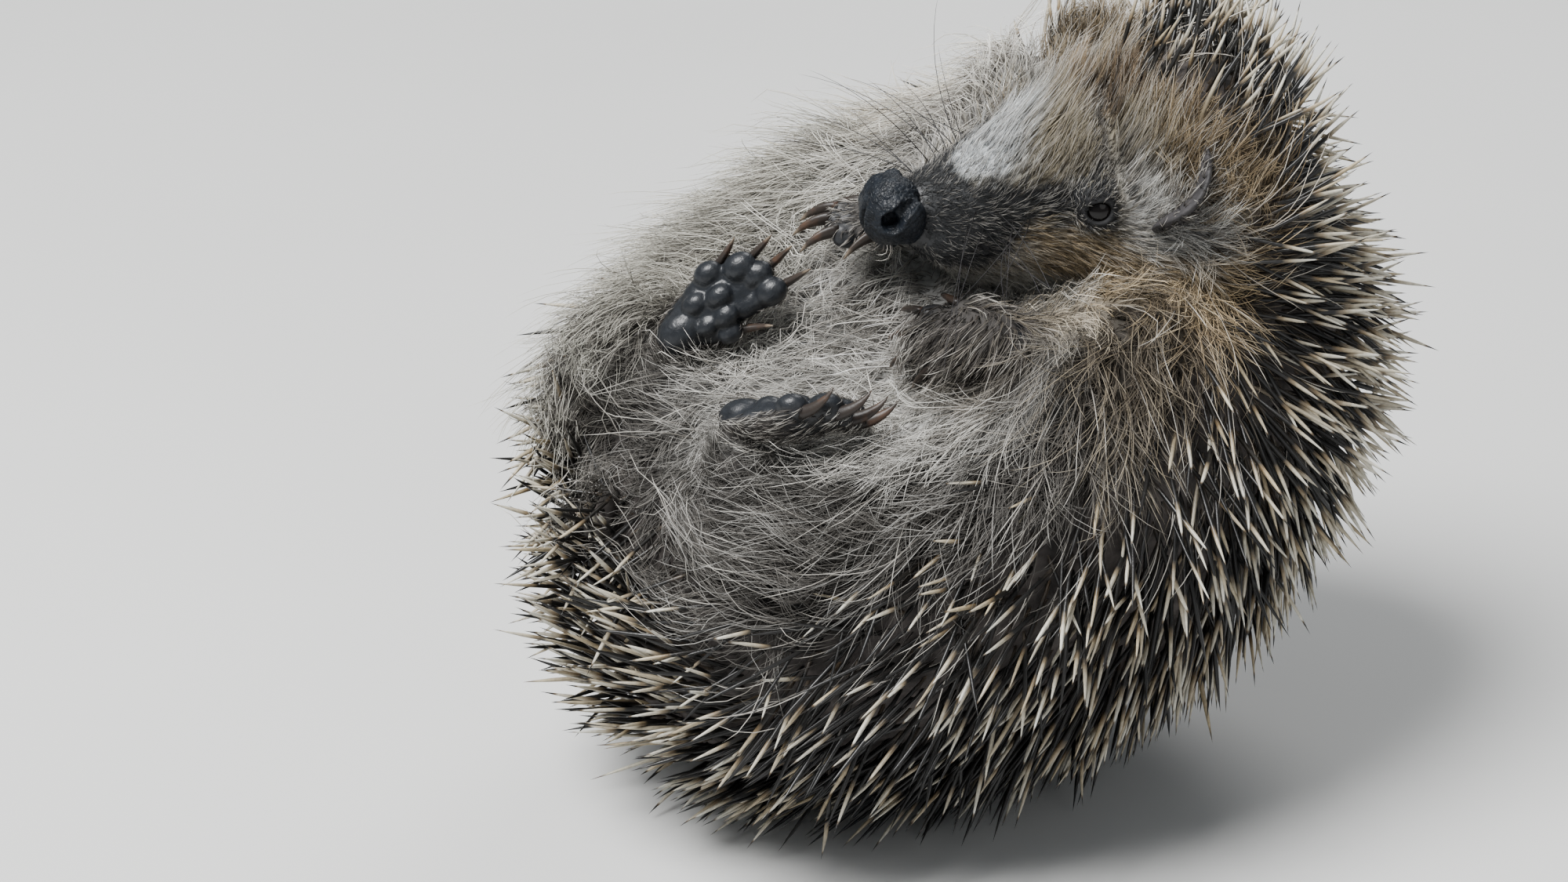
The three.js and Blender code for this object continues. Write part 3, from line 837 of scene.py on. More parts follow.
def belly_on(p):
    """The pale belly: widest between the forelegs, narrow between the thighs."""
    x, y, z = p.T
    edge = np.abs(y) - 26 - 0.5 * np.minimum(x, 10) + 0.7 * np.maximum(x - 14, 0) * (y > 0)
    edge -= 6 * step(-np.abs(x + 6), -18, -8) * (y > 0)
    return step(-z, 20, 29) * fall(edge + 2 * waves(p, 16, 1), -4, 6) * step(x, -44, -20)


def ahead_of_parting(q):
    """How far points lie ahead of the parting, a line on the forehead from the crown to the left eye."""
    x, y, _ = q.T
    return x + 2 - 0.48 * y + 0.018 * y**2 + 0.5 * waves(q, 11, 3)


def parting_shadow_on(q):
    """The painted shadow in the gap between the forehead's hair and the hair behind the eye."""
    return fall(np.abs(ahead_of_parting(q)), 0.9, 2.2) * step(q[:, 2], 2, 5) * step(q[:, 1], -7, -3)


def painted(base, *coats):
    """Colours laid over a base colour in turn, each as strongly as its weight from 0 to 1."""
    for colour, weight in coats:
        base = lerp(base, colour, weight[:, None])
    return base


def face_paint(p, q):
    """The face's colours. q is p in the head's frame."""
    x, y, z = q.T
    cheek = step(-z, 0.5, 4) * fall(x, 14, 20) * fall(-z, 12, 18)
    lip = step(-np.abs(x - 14), -4, -1) * step(-z, 3.5, 6.5) * 0.6
    grey = step(-x, -1, 4) * step(z, -6, -2) * fall(z - 0.15 * x, 6, 11)
    nape = step(-x, 6, 12) * step(z - 0.3 * y, -3, 2)
    brown = step(z - 0.35 * y, 8.5, 12) * fall(x, -1, 7) * step(waves(p, 13, 2), -1.2, 0.6)
    streak = step(x - 0.55 * (y + 9), 2, 10) * step(z - 0.4 * np.abs(y + 4), 0.0, 3.0) * 0.95
    chin = step(-z, 11, 13.5) * fall(x, 28, 31)
    fur = painted(BROW, (CHEEK, cheek), (CHIN, lip), (GREY, grey), (NAPE_TAN, nape), (CROWN_TAN, brown))
    # The parting's dark line is a painted shadow.
    fur = painted(fur, (PARTING_SHADOW, parting_shadow_on(q) * 0.95), (SILVER, streak), (CHIN, chin))
    return painted(fur, (MASK, mask_on(q)))


def tint_at(p):
    """The colour of the coat."""
    x, y, z = p.T
    q = head.local(p)
    nape = step(x, 38, 46) * step(-z, 12, 22) * step(y, 4, 12) * 0.8
    heel = step(4 - paw_frames[0].local(p)[:, 0], 0, 5) * around(p, paw_frames[0].origin, 16, 4)
    face = step(-head_skin(q), -7.5, -3.5) * step(32 - length(q - vec(6, 0, -4)), -6, 2)
    paint = painted(
        FLANK,
        (FAR_FLANK, step(-y, 8, 24) * step(x, -46, -20)),
        (HIP, step(-x, 30, 52) * fall(z, -20, 10)),
        (SHOULDER, step(x, 14, 32) * 0.9),
        (FAR_SHOULDER, step(x, 14, 30) * step(-y, 2, 14)),
        (NAPE_TAN, nape),
        (BELLY, belly_on(p) * 0.92),
        (FRINGE, around(p, (3, 17, -31), 14, 7) * 0.8),  # between the forelegs
        (SHOULDER, around(p, FOREARM, 15.5, 6) * 0.88),
        (THROAT, around(p, (1, -5, -28.5), 10, 6) * 0.75),
        (FRINGE, around(p, (11.5, -7, -29.5), 9, 4) * 0.9),  # under the chin
        (GOLD, around(p, (52.5, 22.8, -26.5), 11, 6) * 0.85),  # behind the ear
        (STRAW, around(p, (26, 16, -31), 12, 6) * 0.8),  # on the shoulder
        (face_paint(p, q), face),
        (FOOT, on_paws(p, 0.8) * (1 - heel)),
    )
    return paint * (1 + 0.16 * waves(p, 14)[:, None])


# ---- The skin: one mesh for the whole animal ----
body_grid = grid_of(skin_field, *SKIN_BOX, SKIN_PACE)
skin_points, quads = surface_net(body_grid)
skin_points = settle(skin_field, skin_points, 0.1)
skin_tris = triangles(quads)


def paws_and_muzzle(p):
    """Where the skin is made twice as fine."""
    q = head.local(p)
    paws = np.any([length(paw.local(p) - vec(5.5, 0, 0)) < 14 for paw in paw_frames], axis=0)
    return (q[:, 0] > -8) & (length(q) < 40) | paws


def eye_rims(p):
    """Where it is made twice as fine again."""
    return to_nearer(head.local(p), (1.5, 12.4, 0)) < 7


for fine in (paws_and_muzzle, eye_rims):
    wanted = fine(skin_points)
    before = len(skin_points)
    skin_points, skin_tris = refine(skin_points, skin_tris, wanted)
    moved = np.r_[np.flatnonzero(wanted), np.arange(before, len(skin_points))]
    skin_points[moved] = settle(skin_field, skin_points[moved], 0.05)
skin_normals = normals_of(skin_points, skin_tris)

ear_cup = shaped(ellipsoid((0, 0, 0), (1.5, 8.4, 8.3)), (ellipsoid((1.9, 0, -0.6), (1.9, 6.6, 6.8)), -0.5))


def ear_field(q):
    """A thin cupped ear, in its own frame: +X out of the cup, +Y across and +Z up."""
    r = q.copy()
    r[:, 0] -= 3.2 * (q[:, 1] / 8.7) ** 2 + 0.5 * np.sin(q[:, 2] * 0.5)
    return ear_cup(r)


def make_ear(side):
    stand = Frame(EAR_AT, EAR_OUT, EAR_UP)
    points, tris = small_net(ear_field, (1.5, 0, 0), (6, 10, 10), 0.42)
    placed = stand.out(points) * vec(1, side, 1)
    return head.out(placed), tris if side > 0 else tris[:, ::-1]


ears = [make_ear(side) for side, _ in SIDES]


def make_skin():
    p, q = skin_points, head.local(skin_points)
    face, sole = on_head(p), sole_of(p)
    quilled = step(quill_side(p), -5, 4) * (1 - face)
    # The skin between the quills: mauve, darkened as a painted shade between them.
    shaded_mauve = vec(0.05, 0.043, 0.04) * (1 + 0.5 * waves(p, 9)[:, None])
    # The skin under the coat takes the coat's colour, darkened as a painted shade under the hair.
    shaded_under_fur = tint_at(p) * (0.42 + 0.3 * face)[:, None]
    hide = painted(shaded_under_fur, (shaded_mauve, quilled), (FOOT * 0.45, on_paws(p)), (SOLE, sole))
    points, tris = [p], [skin_tris]
    bare = [np.maximum(sole, step(q[:, 0], 26.5, 29.5) * face)]
    tint = [lerp(LID, hide, step(to_nearer(q, LIDS_AT), 2.6, 4.6)[:, None])]
    for (ear, ear_tris), colour in zip(ears, EAR_HIDES):
        tris.append(ear_tris + sum(len(p) for p in points))
        points.append(ear)
        bare.append(np.full(len(ear), 0.35))
        tint.append(colour * (1 + 0.25 * waves(ear, 6)[:, None]))
    points, tris, bare, tint = [np.concatenate(parts) for parts in (points, tris, bare, tint)]
    piece = tri_piece("skin", points, tris, "fur", SKIN, values={"bare": bare}, tint=tint)
    names = ["trunk", "neck", "head", "tail"]
    for _, name in SIDES:
        names += [f"{part}_{name}" for part in ("hindleg", "foreleg", "hindpaw", "forepaw", "ear")]
    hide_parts(*names)


def make_eyes():
    for side, name in SIDES:
        centre = world(head.out(np.array(EYE_AT) * vec(1, side, 1)))
        radius = EYE_RADIUS / 1000
        bpy.ops.mesh.primitive_uv_sphere_add(segments=40, ring_count=24, radius=radius, location=centre)
        piece = bpy.context.object
        piece.name = f"eyeball_{name}"
        bpy.ops.object.transform_apply(location=True, rotation=True, scale=True)
        bpy.ops.object.shade_smooth()
        piece.data.materials.append(EYE)
        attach(piece, "root")
        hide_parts(f"eye_{name}")


def make_nose():
    """The nose pad's surface: low cobbles of about half a millimetre, higher on the nostrils' rims."""
    points, tris = small_net(nose_field, NOSE_AT, (7.5, 8, 8.5), 0.2)
    normals = normals_of(points, tris)
    tree = tree_of(points[random.choice(len(points), NOSE_COBBLES, replace=False)])
    found = np.array([[hit[2] for hit in tree.find_n(p, 2)] for p in points])
    edge = found[:, 1] - found[:, 0]
    rim = step(1 - np.abs(length(points - np.array(NOSE_AT)) - 5.6), 0, 1)
    rim = rim * step(NOSE_AT[0] - points[:, 0], 0.5, 2.5)
    points = points + normals * ((0.12 + 0.16 * rim) * step(edge, -0.05, 0.5) - 0.12)[:, None]
    piece = tri_piece("nose_pad", head.out(points), tris, "nose", NOSE)
    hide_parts("nose")


def claw_rings(root, tip, pad, share, turns):
    """The rings of one claw, in its paw's frame: it starts on the toe's pad and bends down."""
    root, tip = np.array(root, float), np.array(tip, float)
    upward = vec(0, 0, 1)
    out = unit((tip - root) * vec(1, 1, 0))
    start = np.array([tip[0], tip[1], tip[2] + 0.7]) + out * pad * 0.45
    bend = math.radians(CLAW_BEND)
    ahead = CLAW_LENGTH * np.sin(bend * share) / bend
    down = CLAW_LENGTH * (1 - np.cos(bend * share)) / bend
    path = start + out * ahead[:, None] - upward * down[:, None]
    heading = out * np.cos(bend * share)[:, None] - upward * np.sin(bend * share)[:, None]
    wide = np.cross(upward, out)
    rise = np.cross(heading, wide)
    radius = CLAW_RADIUS * (1 - share**1.6 * 0.93)
    width = 0.72 * np.cos(turns)[None, :, None] * wide
    depth = 1.08 * np.sin(turns)[None, :, None] * rise[:, None]
    return path[:, None] + radius[:, None, None] * (width + depth)


def make_claws():
    sides, rings = 12, 10
    share = np.linspace(0, 1, rings)
    turns = np.arange(sides) / sides * 2 * math.pi
    caps = np.stack([np.arange(sides)[::-1], np.arange(sides) + (rings - 1) * sides])
    for n, (kind, side, *_) in enumerate(LIMBS):
        toes = PAWS[kind][0]
        points = np.concatenate([claw_rings(*toe, share, turns).reshape(-1, 3) for toe in toes])
        faces, ends = tube_walls(rings, sides), caps
        if side < 0:
            faces, ends = faces[:, ::-1], ends[:, ::-1]
        template = np.concatenate([faces.ravel(), ends.ravel()])
        corners = template + np.arange(len(toes))[:, None] * rings * sides
        sizes = np.tile([4] * len(faces) + [sides, sides], len(toes))
        # The near hind foot's claws are darker.
        along = np.tile(np.repeat(share, sides), len(toes)) * (0.7 if n == 0 else 1)
        name = f"{kind}_{'left' if side > 0 else 'right'}"
        placed = paw_frames[n].out(points)
        piece = mesh_piece(f"claws_{name}", placed, sizes, corners.ravel(), "claw", CLAW, {"along": along})
        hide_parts(*[f"claw_{name}_{toe + 1}" for toe in range(5)])


make_skin()
make_eyes()
make_nose()
make_claws()


# ---- The coat: strands grown over the skin ----
grid_low, pace, distances = body_grid
around_skin = np.stack([distances, *np.gradient(distances, pace)], -1).astype(np.float32)


def sample(p):
    """How far points are over the skin, and the outward direction there."""
    at = np.clip((p - grid_low) / pace, 0, np.array(distances.shape) - 1.001)
    cell = at.astype(int)
    t = at - cell
    total = 0
    for corner in np.ndindex(2, 2, 2):
        share = np.abs(1 - np.array(corner) - t)
        weight = share[:, 0] * share[:, 1] * share[:, 2]
        total = total + around_skin[tuple((cell + corner).T)] * weight[:, None]
    return total[:, 0], unit(total[:, 1:])


UPWARD = lie[:, 2]


def over_floor(p, least=0.3):
    """Lifts points that would be under the floor."""
    return p + UPWARD * np.maximum(least - height(p), 0)[..., None]


def heading(p):
    """The way the coat points: back from the nose over the head, then along the body to the tail."""
    x, y, _ = p.T
    nose = head.out((NOSE_AT[0] + 4, 0, NOSE_AT[2] - 2))
    from_face = unit(p - nose)
    furred = fall(quill_side(p), -8, 2)
    ventral = 1.4 * step(-x, 14, 36) * furred + 1.3 * step(-x, 42, 62) * (1 - furred)
    tailward = 1 - 0.95 * step(-x, 38, 52) * furred
    toward_tail = np.stack([-tailward, 0.012 * y * step(x, -30, 30), -ventral], -1)
    dorsal = np.stack([np.zeros(len(p)), 0.01 * y, np.ones(len(p))], -1)
    body = toward_tail + dorsal * (0.75 * step(x, -5, 30))[:, None]
    # The forehead's hair is swept up towards the crown and to the right.
    fx, _, fz = head.local(p).T
    swept = 0.68 * step(fz, -1, 5) * fall(fx, 18, 26)
    from_face = unit(lerp(from_face, vec(-0.42, -0.6, 0.6) @ head.axes, swept[:, None]))
    share = np.maximum(step(x, 34, 58), around(p, head.out((4, 0, -3)), 32, 8))
    return lerp(unit(body), from_face, share[:, None])


def scatter(weight, spacing, most, seed, surface=None):
    """Roots over the skin, evenly spread. weight says where they grow; spacing is the least gap, in mm."""
    local = np.random.default_rng(seed)
    points, tris, facing = surface or (skin_points, skin_tris, skin_normals)
    centres = points[tris].mean(1)
    a, b, c = points[tris].transpose(1, 0, 2)
    area = length(np.cross(b - a, c - a)) / 2
    total = np.cumsum(area * weight(centres))
    pick = np.searchsorted(total, local.random(most) * total[-1])
    u, v = local.random((2, most))
    over = u + v > 1
    u, v = np.where(over, 1 - u, u), np.where(over, 1 - v, v)
    shares = np.stack([1 - u - v, u, v], -1)[..., None]
    corners = tris[pick]
    roots = (points[corners] * shares).sum(1)
    normals = unit((facing[corners] * shares).sum(1))
    gap = spacing(roots) if callable(spacing) else np.full(most, spacing)
    tree = tree_of(roots)
    kept = np.ones(most, bool)
    for n in range(most):
        if kept[n]:
            for _, other, _ in tree.find_range(roots[n], gap[n]):
                if other > n:
                    kept[other] = False
    return roots[kept], normals[kept]


def turned(flow, side, angle):
    """The direction flow, turned by angle towards side."""
    return flow * np.cos(angle)[:, None] + side * np.sin(angle)[:, None]


def comb(roots, normals, span, lift, lay, yaw, curl, segments):
    """Paths that leave the skin at the angle lift, lie down to the angle lay, and follow the heading."""
    path = [roots]
    for n in range(segments):
        p = path[-1]
        t = (n + 0.5) / segments
        value, normal = sample(p) if n else (np.zeros(len(p)), normals)
        flow = unit(across(heading(p), normal))
        ahead = turned(flow, np.cross(normal, flow), yaw + curl * t)
        low = np.maximum(0.75 * t - value, 0) * (n > 0)
        p = p + turned(ahead, normal, lerp(lift, lay, t**0.7)) * (span / segments)[:, None]
        path.append(over_floor(p + normal * np.minimum(low, 1.5)[:, None]))
    return np.stack(path, 1)


def octahedral(directions):
    """An unwrap of a closed round shape on to the unit square."""
    d = directions / np.abs(directions).sum(-1, keepdims=True)
    x, y, z = d.T
    sign = lambda v: np.where(v < 0, -1.0, 1.0)
    u = np.where(z < 0, (1 - np.abs(y)) * sign(x), x)
    v = np.where(z < 0, (1 - np.abs(x)) * sign(y), y)
    return np.stack([u, v], -1) * 0.49 + 0.5


PATCH = 0.003  # a tuft's patch on the map OFBake


def strand_piece(
    name, paths, thick, normals, roots, profile, sides, centre,
    slot="fur", material=HAIR, tint=None, stops=None, **values,
):
    """One closed tapered rod along each path, joined in one mesh; the last point of a path is its tip.

    profile and stops say how thick a rod's rings are and how far along it they are. values are further
    attributes, with a number for each rod. The map OFBake is unwrapped around centre.
    """
    count, rings = paths.shape[0], paths.shape[1] - 1
    stops = np.arange(rings + 1) / rings if stops is None else stops
    tangents = unit(np.gradient(paths, axis=1))
    side = unit(np.cross(tangents, normals[:, None, :] + 0.02))
    rise = np.cross(tangents, side)
    turn = np.arange(sides)
    angle = turn / sides * 2 * math.pi
    radius = thick[:, None] / 2 * np.array(profile)
    ring = paths[:, :rings, None] + radius[..., None, None] * (
        np.cos(angle)[:, None] * side[:, :rings, None] + np.sin(angle)[:, None] * rise[:, :rings, None]
    )
    each = rings * sides + 1
    points = np.concatenate([ring.reshape(count, -1, 3), paths[:, -1:]], 1).reshape(-1, 3)
    last = (rings - 1) * sides
    tips = np.stack([last + turn, last + (turn + 1) % sides, np.full(sides, each - 1)], -1)
    template = np.concatenate([tube_walls(rings, sides).ravel(), tips.ravel(), turn[::-1]])
    sizes = np.tile([4] * last + [3] * sides + [sides], count)
    corners = (template + np.arange(count)[:, None] * each).ravel()
    along = np.append(np.repeat(stops[:rings], sides), 1.0)
    across_it = np.append(np.tile(turn / sides, rings), 0.5)
    patch = octahedral(unit(roots - np.array(centre)))[:, None] + PATCH * np.stack([across_it, along], -1)
    values = {key: np.repeat(value, each) for key, value in values.items()}
    values["along"] = np.tile(along, count)
    tint = None if tint is None else np.repeat(tint, each, axis=0)
    points = over_floor(points, 0.05)
    mesh_piece(name, points, sizes, corners, slot, material, values, tint, patch.reshape(-1, 2))


def strand_pieces(name, strands, **settings):
    """Strands in pieces that are small enough. The strands are dealt out to the pieces in turn."""
    rings, sides = strands["paths"].shape[1] - 1, settings["sides"]
    triangles_each = (rings - 1) * sides * 2 + sides + sides - 2
    parts = max(1, math.ceil(len(strands["paths"]) * triangles_each / MOST_IN_PIECE))
    for part in range(parts):
        share = {key: value[part::parts] for key, value in strands.items()}
        strand_piece(f"{name}_{part + 1}", **share, **settings)


# Where a quill's rings are along it, and how thick it is there.
QUILL_STOPS = vec(0, 0.12, 0.5, 0.76, 0.91, 1.0)
QUILL_PROFILE = (0.55, 0.92, 1.0, 0.78, 0.3)


def quill_area(p):
    x, y, z = p.T
    grown = step(fur_side(p) + 2.5 * waves(p, 20, 3), -3, 5)
    belly = step(-z, 22, 27) * fall(np.abs(y), 24, 34) * step(x, -52, -42) * fall(x, 26, 36)
    return on_body(grown * (1 - belly), p, 4)


def quill_gap(p):
    bald = step(waves(p, 30, 5), 0.45, 0.9) * step(-p[:, 0], 10, 30)
    return QUILL_GAP - 0.45 * step(p[:, 0], 30, 52) + 0.9 * bald + 0.6 * step(-quill_side(p), -9, 2)


def tilted_over_floor(way, roots, span):
    """Lays quills between the body and the floor flatter, so that their tips stay over the floor."""
    down = way @ UPWARD
    level = unit(way - UPWARD * down[:, None])
    down = np.maximum(down, np.minimum((0.3 - height(roots)) / span, 0.3))
    return level * np.sqrt(1 - down**2)[:, None] + UPWARD * down[:, None]


def grow_quills():
    roots, normals = scatter(quill_area, quill_gap, 30000, 21)
    local = np.random.default_rng(22)
    count = len(roots)
    edge = fall(quill_side(roots), 0, 9)
    crown = step(roots[:, 0], 46, 62)
    flow = unit(across(heading(roots), normals))
    side = np.cross(normals, flow)
    # Quills stand in bunches that cross one another.
    bunch = np.sin(waves(roots, 9, 4) * 4)
    yaw = local.normal(0, 0.3, count) + 0.32 * bunch + 0.25 * waves(roots, 26, 7)
    lean = np.radians(QUILL_LEAN - 7 * edge + 7 * crown) + local.normal(0, 0.15, count)
    lean = lean + 0.1 * np.cos(waves(roots, 8, 6) * 5)
    span = (QUILL_LENGTH - 3.5 * edge) * local.uniform(0.8, 1.08, count)
    way = tilted_over_floor(turned(turned(flow, side, yaw), normals, lean), roots, span)
    sag = across(np.tile(local.normal(0, 1, 3), (count, 1)), way) * local.normal(0, 0.35, count)[:, None]
    paths = roots[:, None] + way[:, None] * (span[:, None] * QUILL_STOPS)[..., None]
    paths = paths + sag[:, None] * (QUILL_STOPS * (1 - QUILL_STOPS) * 4)[:, None]
    paths[:, 0] -= normals * 0.4
    thick = local.uniform(*QUILL_WIDTH, count) * (1 - 0.12 * edge)
    fate = local.random(count)
    # Painted shade: more of the quills low on the near hind flank, where it lies in shade, are all dark,
    # and fewer of the crown's.
    x, y, _ = roots.T
    dusk = step(y, 30, 42) * (step(-x, -4, 16) + 0.4 * step(x, 8, 16))
    dusk = dusk * fall(x, 34, 44) - 0.5 * step(x, 42, 54)

    strands = {"paths": paths, "thick": thick, "normals": normals, "roots": roots}
    strands.update(fate=fate, dusk=dusk)
    strand_pieces(
        "quills", strands, profile=QUILL_PROFILE, sides=5, centre=BODY_MIDDLE,
        slot="quills", material=QUILL, stops=QUILL_STOPS,
    )


def grow_locks(
    name, where, look_of, gap, most, seed, strands, segments,
    centre=BODY_MIDDLE, tone=PALE_HAIR, paint=tint_at, blur=1.5, surface=None,
):
    """Fur in locks of a few strands that run together and meet towards their tips.

    look_of gives the numbers at each root: the length span; the angles lift, lay, wild and curl in radians;
    how far strands spread at the root and flare at the tip; how thick they are; and the share of pale ones.
    """
    roots, normals = scatter(where, gap, most // (1), seed, surface)
    local = np.random.default_rng(seed + 1)
    count = len(roots)
    look = look_of(roots) if callable(look_of) else look_of
    look = {key: np.broadcast_to(value, count) for key, value in look.items()}
    span = look["span"] * local.uniform(0.7, 1.15, count)
    lift = look["lift"] + local.normal(0, 0.2, count)
    lay = look["lay"] + local.normal(0, 0.12, count)
    yaw = local.normal(0, 1, count) * look["wild"] + 0.5 * look["wild"] * waves(roots, 18, seed)
    curl = local.normal(0, 1, count) * look["curl"]
    middle = comb(roots, normals, span, lift, lay, yaw, curl, segments)
    t = np.linspace(0, 1, segments + 1)
    lock = np.repeat(np.arange(count), strands)
    many = len(lock)
    middle = middle[lock]
    spread = across(local.normal(0, 1, (many, 3)), normals[lock]) * look["spread"][lock, None]
    flare = local.normal(0, 1, (many, 3)) * look["flare"][lock, None]
    pale = local.random(many) < look["pale"][lock]
    reach = local.uniform(0.72, 1.08, many) * np.where(pale, 1.15, 0.85)
    paths = middle[:, :1] + (middle - middle[:, :1]) * reach[:, None, None]
    paths = paths + spread[:, None] * (1 - 0.8 * t)[:, None] + flare[:, None] * (t**1.6)[:, None]
    # The strands' roots are just in the skin, and the rest of them is just over it.
    value, out = sample(paths.reshape(-1, 3))
    want = np.tile(np.concatenate([[-0.3], np.full(segments, 0.15)]), many)
    paths = (paths.reshape(-1, 3) + out * np.maximum(want - value, 0)[:, None]).reshape(paths.shape)
    paths[:, 0] -= normals[lock] * 0.2
    paths = over_floor(paths)
    thick = look["thick"][lock] * local.uniform(0.75, 1.25, many)
    shade = local.normal(0, 0.2, (count, 1))[lock] + local.normal(0, 0.12, (many, 1))
    blurred = local.normal(0, 1, (count, 3))[lock] * blur
    tint = paint(middle[:, 0] * 0.6 + middle[:, segments // 2] * 0.4 + blurred) * np.exp(shade)
    tone = tone(roots)[lock] if callable(tone) else tone
    tint = np.clip(lerp(tint, tone, pale[:, None] * 0.62), 0.004, 0.8)
    strands = {"paths": paths, "thick": thick, "normals": normals[lock], "roots": roots[lock], "tint": tint}
    profile = np.append(0.8, np.linspace(1.0, 0.55, segments - 1))
    strand_pieces(name, strands, profile=profile, sides=3, centre=centre)


def fur_area(p):
    nape = 5 * step(p[:, 0], 44, 52)
    return on_body(fall(fur_side(p) - nape, -9, 2), p, 1.5)


def fur_look(p):
    x, y, z = p.T
    belly = step(-z, 17, 27) * fall(np.abs(y), 17, 31) * step(x, -60, -40)
    border = step(quill_side(p), -12, 0)
    neck = step(x, 18, 38)
    far = step(-y, 12, 26)
    sleek = around(p, FOREARM, 18, 6)
    span = lerp(FUR_LENGTH, BELLY_FUR, belly) + 1.5 * border * (1 - neck) - 4 * neck * border
    return {
        "span": (span - 2 * neck + 3 * far) * (1 - 0.08 * sleek),
        "lift": lerp(0.6, 0.5, belly) + 0.15 * neck + 0.15 * far,
        "lay": lerp(0.15, 0.1, belly) + 0.1 * border,
        "wild": lerp(0.36, 0.52, belly) + 0.15 * neck,
        "curl": lerp(0.6, 0.65, belly),
        "spread": 0.9,
        "flare": lerp(1.5, 1.0, belly),
        "thick": lerp(0.15, 0.12, belly) + 0.03 * border - 0.02 * sleek,
        "pale": (lerp(0.17, 0.12, belly) + 0.2 * far) * (1 - 0.5 * sleek),
    }


def fur_tone(p):
    """The colour of the pale hairs: cool on the hip, tan on the shoulder, and darker low on the near hind
    flank, a painted shade.
    """
    x, y, _ = p.T
    near_side = painted(HIP_HAIR, (SHOULDER_HAIR, step(x, 6, 28)))
    # Painted shade: the pale hairs are darker low on the near hind flank.
    near_side = near_side * (1 - 0.5 * step(y, 32, 40) * step(-x, 4, 14))[:, None]
    return painted(near_side, (FAR_HAIR, step(-y, 8, 22)))


def bristle_area(p):
    side = fur_side(p)
    return on_body(step(side, -12, -2) * fall(side, 6, 16), p, 3)


BRISTLES = {
    "span": 18.0, "lift": 0.7, "lay": 0.28, "wild": 0.3, "curl": 0.3,
    "spread": 1.0, "flare": 1.5, "thick": 0.22, "pale": 0.3,
}
GUARD_HAIR = {
    "span": 23.0, "lift": 1.0, "lay": 0.3, "wild": 0.3, "curl": 0.5,
    "spread": 0.6, "flare": 1.2, "thick": 0.2, "pale": 0.8,
}


def guard_area(p):
    """Long pale hairs stand over the fur of the right flank."""
    return on_body(step(-p[:, 1], 12, 22) * fall(quill_side(p), -6, 2), p, 3)


def face_area(p):
    q = head.local(p)
    bare_nose = step(q[:, 0], 28.5, 30)
    grown = on_head(p) * step(to_nearer(q, LIDS_AT), 2.2, 2.8)
    return grown * (1 - bare_nose) * (1 - on_paws(p, 0.4))


def face_gap(p):
    q = head.local(p)
    return 0.58 + 0.22 * step(-q[:, 0], 2, 12) - 0.09 * mask_on(q)


def face_look(p):
    q = head.local(p)
    x, y, z = q.T
    mask = mask_on(q)
    muzzle = step(x, 8, 26)
    back = step(-x, 2, 14)
    chin = step(-z, 13, 17) * fall(x, 22, 28)
    top = step(z - 0.5 * np.minimum(y, 0), 4, 10) * (1 - muzzle)
    ridge = step(-y, -4, 8) * step(z, -4, 2) * fall(x, 14, 22)
    lids = step(to_nearer(q, LIDS_AT), 2.4, 6.5 + 3 * step(x, 2, 5))
    span = lerp(5.5, 2.1, muzzle) + 3 * back + 4.5 * top + 2.5 * ridge
    span = lerp(span, 6, chin * 0.8) * lerp(1, 0.75, mask)
    # The forehead's hair ends at the parting.
    ahead = ahead_of_parting(q)
    stop = step(z, 2, 5) * step(y, -7, -3) * (ahead > -1.5)
    span = lerp(span, np.minimum(span, 1.4 + 1.15 * np.maximum(ahead, 0)), stop)
    return {
        "span": span * lerp(0.3, 1, lids),
        "lift": 0.42 + 0.2 * chin + 0.1 * back + 0.22 * top + 0.3 * ridge,
        "lay": 0.12 + 0.25 * chin + 0.12 * top,
        "wild": 0.16 + 0.14 * back + 0.1 * chin,
        "curl": 0.12,
        "spread": 0.3 + 0.2 * back,
        "flare": 0.35 + 0.45 * back + 0.2 * chin,
        "thick": 0.105 + 0.03 * back - 0.03 * muzzle,
        "pale": lerp(0.16, 0.22, mask) * (1 - 0.5 * step(x, 22, 27)),
    }


def shaggy_on(p):
    """1 on the left forepaw: it lies in the fur, and its own hair hides its toes."""
    return around(p, paw_frames[2].out((4, 0, 0)), 24, 6)


def paw_area(p):
    return on_paws(p, 0.9) * (1 - sole_of(p) * (1 - shaggy_on(p))) * (1 - on_head(p))


def paw_look(p):
    shaggy = shaggy_on(p)
    return {
        "span": 2.6 + 6.8 * shaggy, "lift": 0.38 + 0.1 * shaggy, "lay": 0.1, "wild": 0.2,
        "curl": 0.1 + 0.15 * shaggy, "spread": 0.3, "flare": 0.2 + 0.3 * shaggy,
        "thick": 0.13 + 0.025 * shaggy, "pale": 0.25 - 0.13 * shaggy,
    }


def ear_look(p):
    """The right ear is laid into the hair of the nape, and hair covers it. The left one is nearly bare."""
    return {
        "span": lerp(3.0, 9.0, step(-p[:, 1], -8, 0)), "lift": 0.5, "lay": 0.3, "wild": 0.3, "curl": 0.2,
        "spread": 0.4, "flare": 0.8, "thick": 0.14, "pale": 0.3,
    }


def ear_paint(p):
    return painted(EAR_HAIR[0], (EAR_HAIR[1], step(-p[:, 1], -8, 0))) * (1 + 0.3 * waves(p, 12)[:, None])


def grow_ears():
    for (points, tris), (_, name), gap in zip(ears, SIDES, (1.15, 0.65)):
        surface = (points, tris, normals_of(points, tris))
        grow_locks(
            f"ear_fur_{name}", lambda p: np.ones(len(p)), ear_look, gap, most=3000, seed=81, strands=3,
            segments=4, centre=points.mean(0), paint=ear_paint, surface=surface,
        )


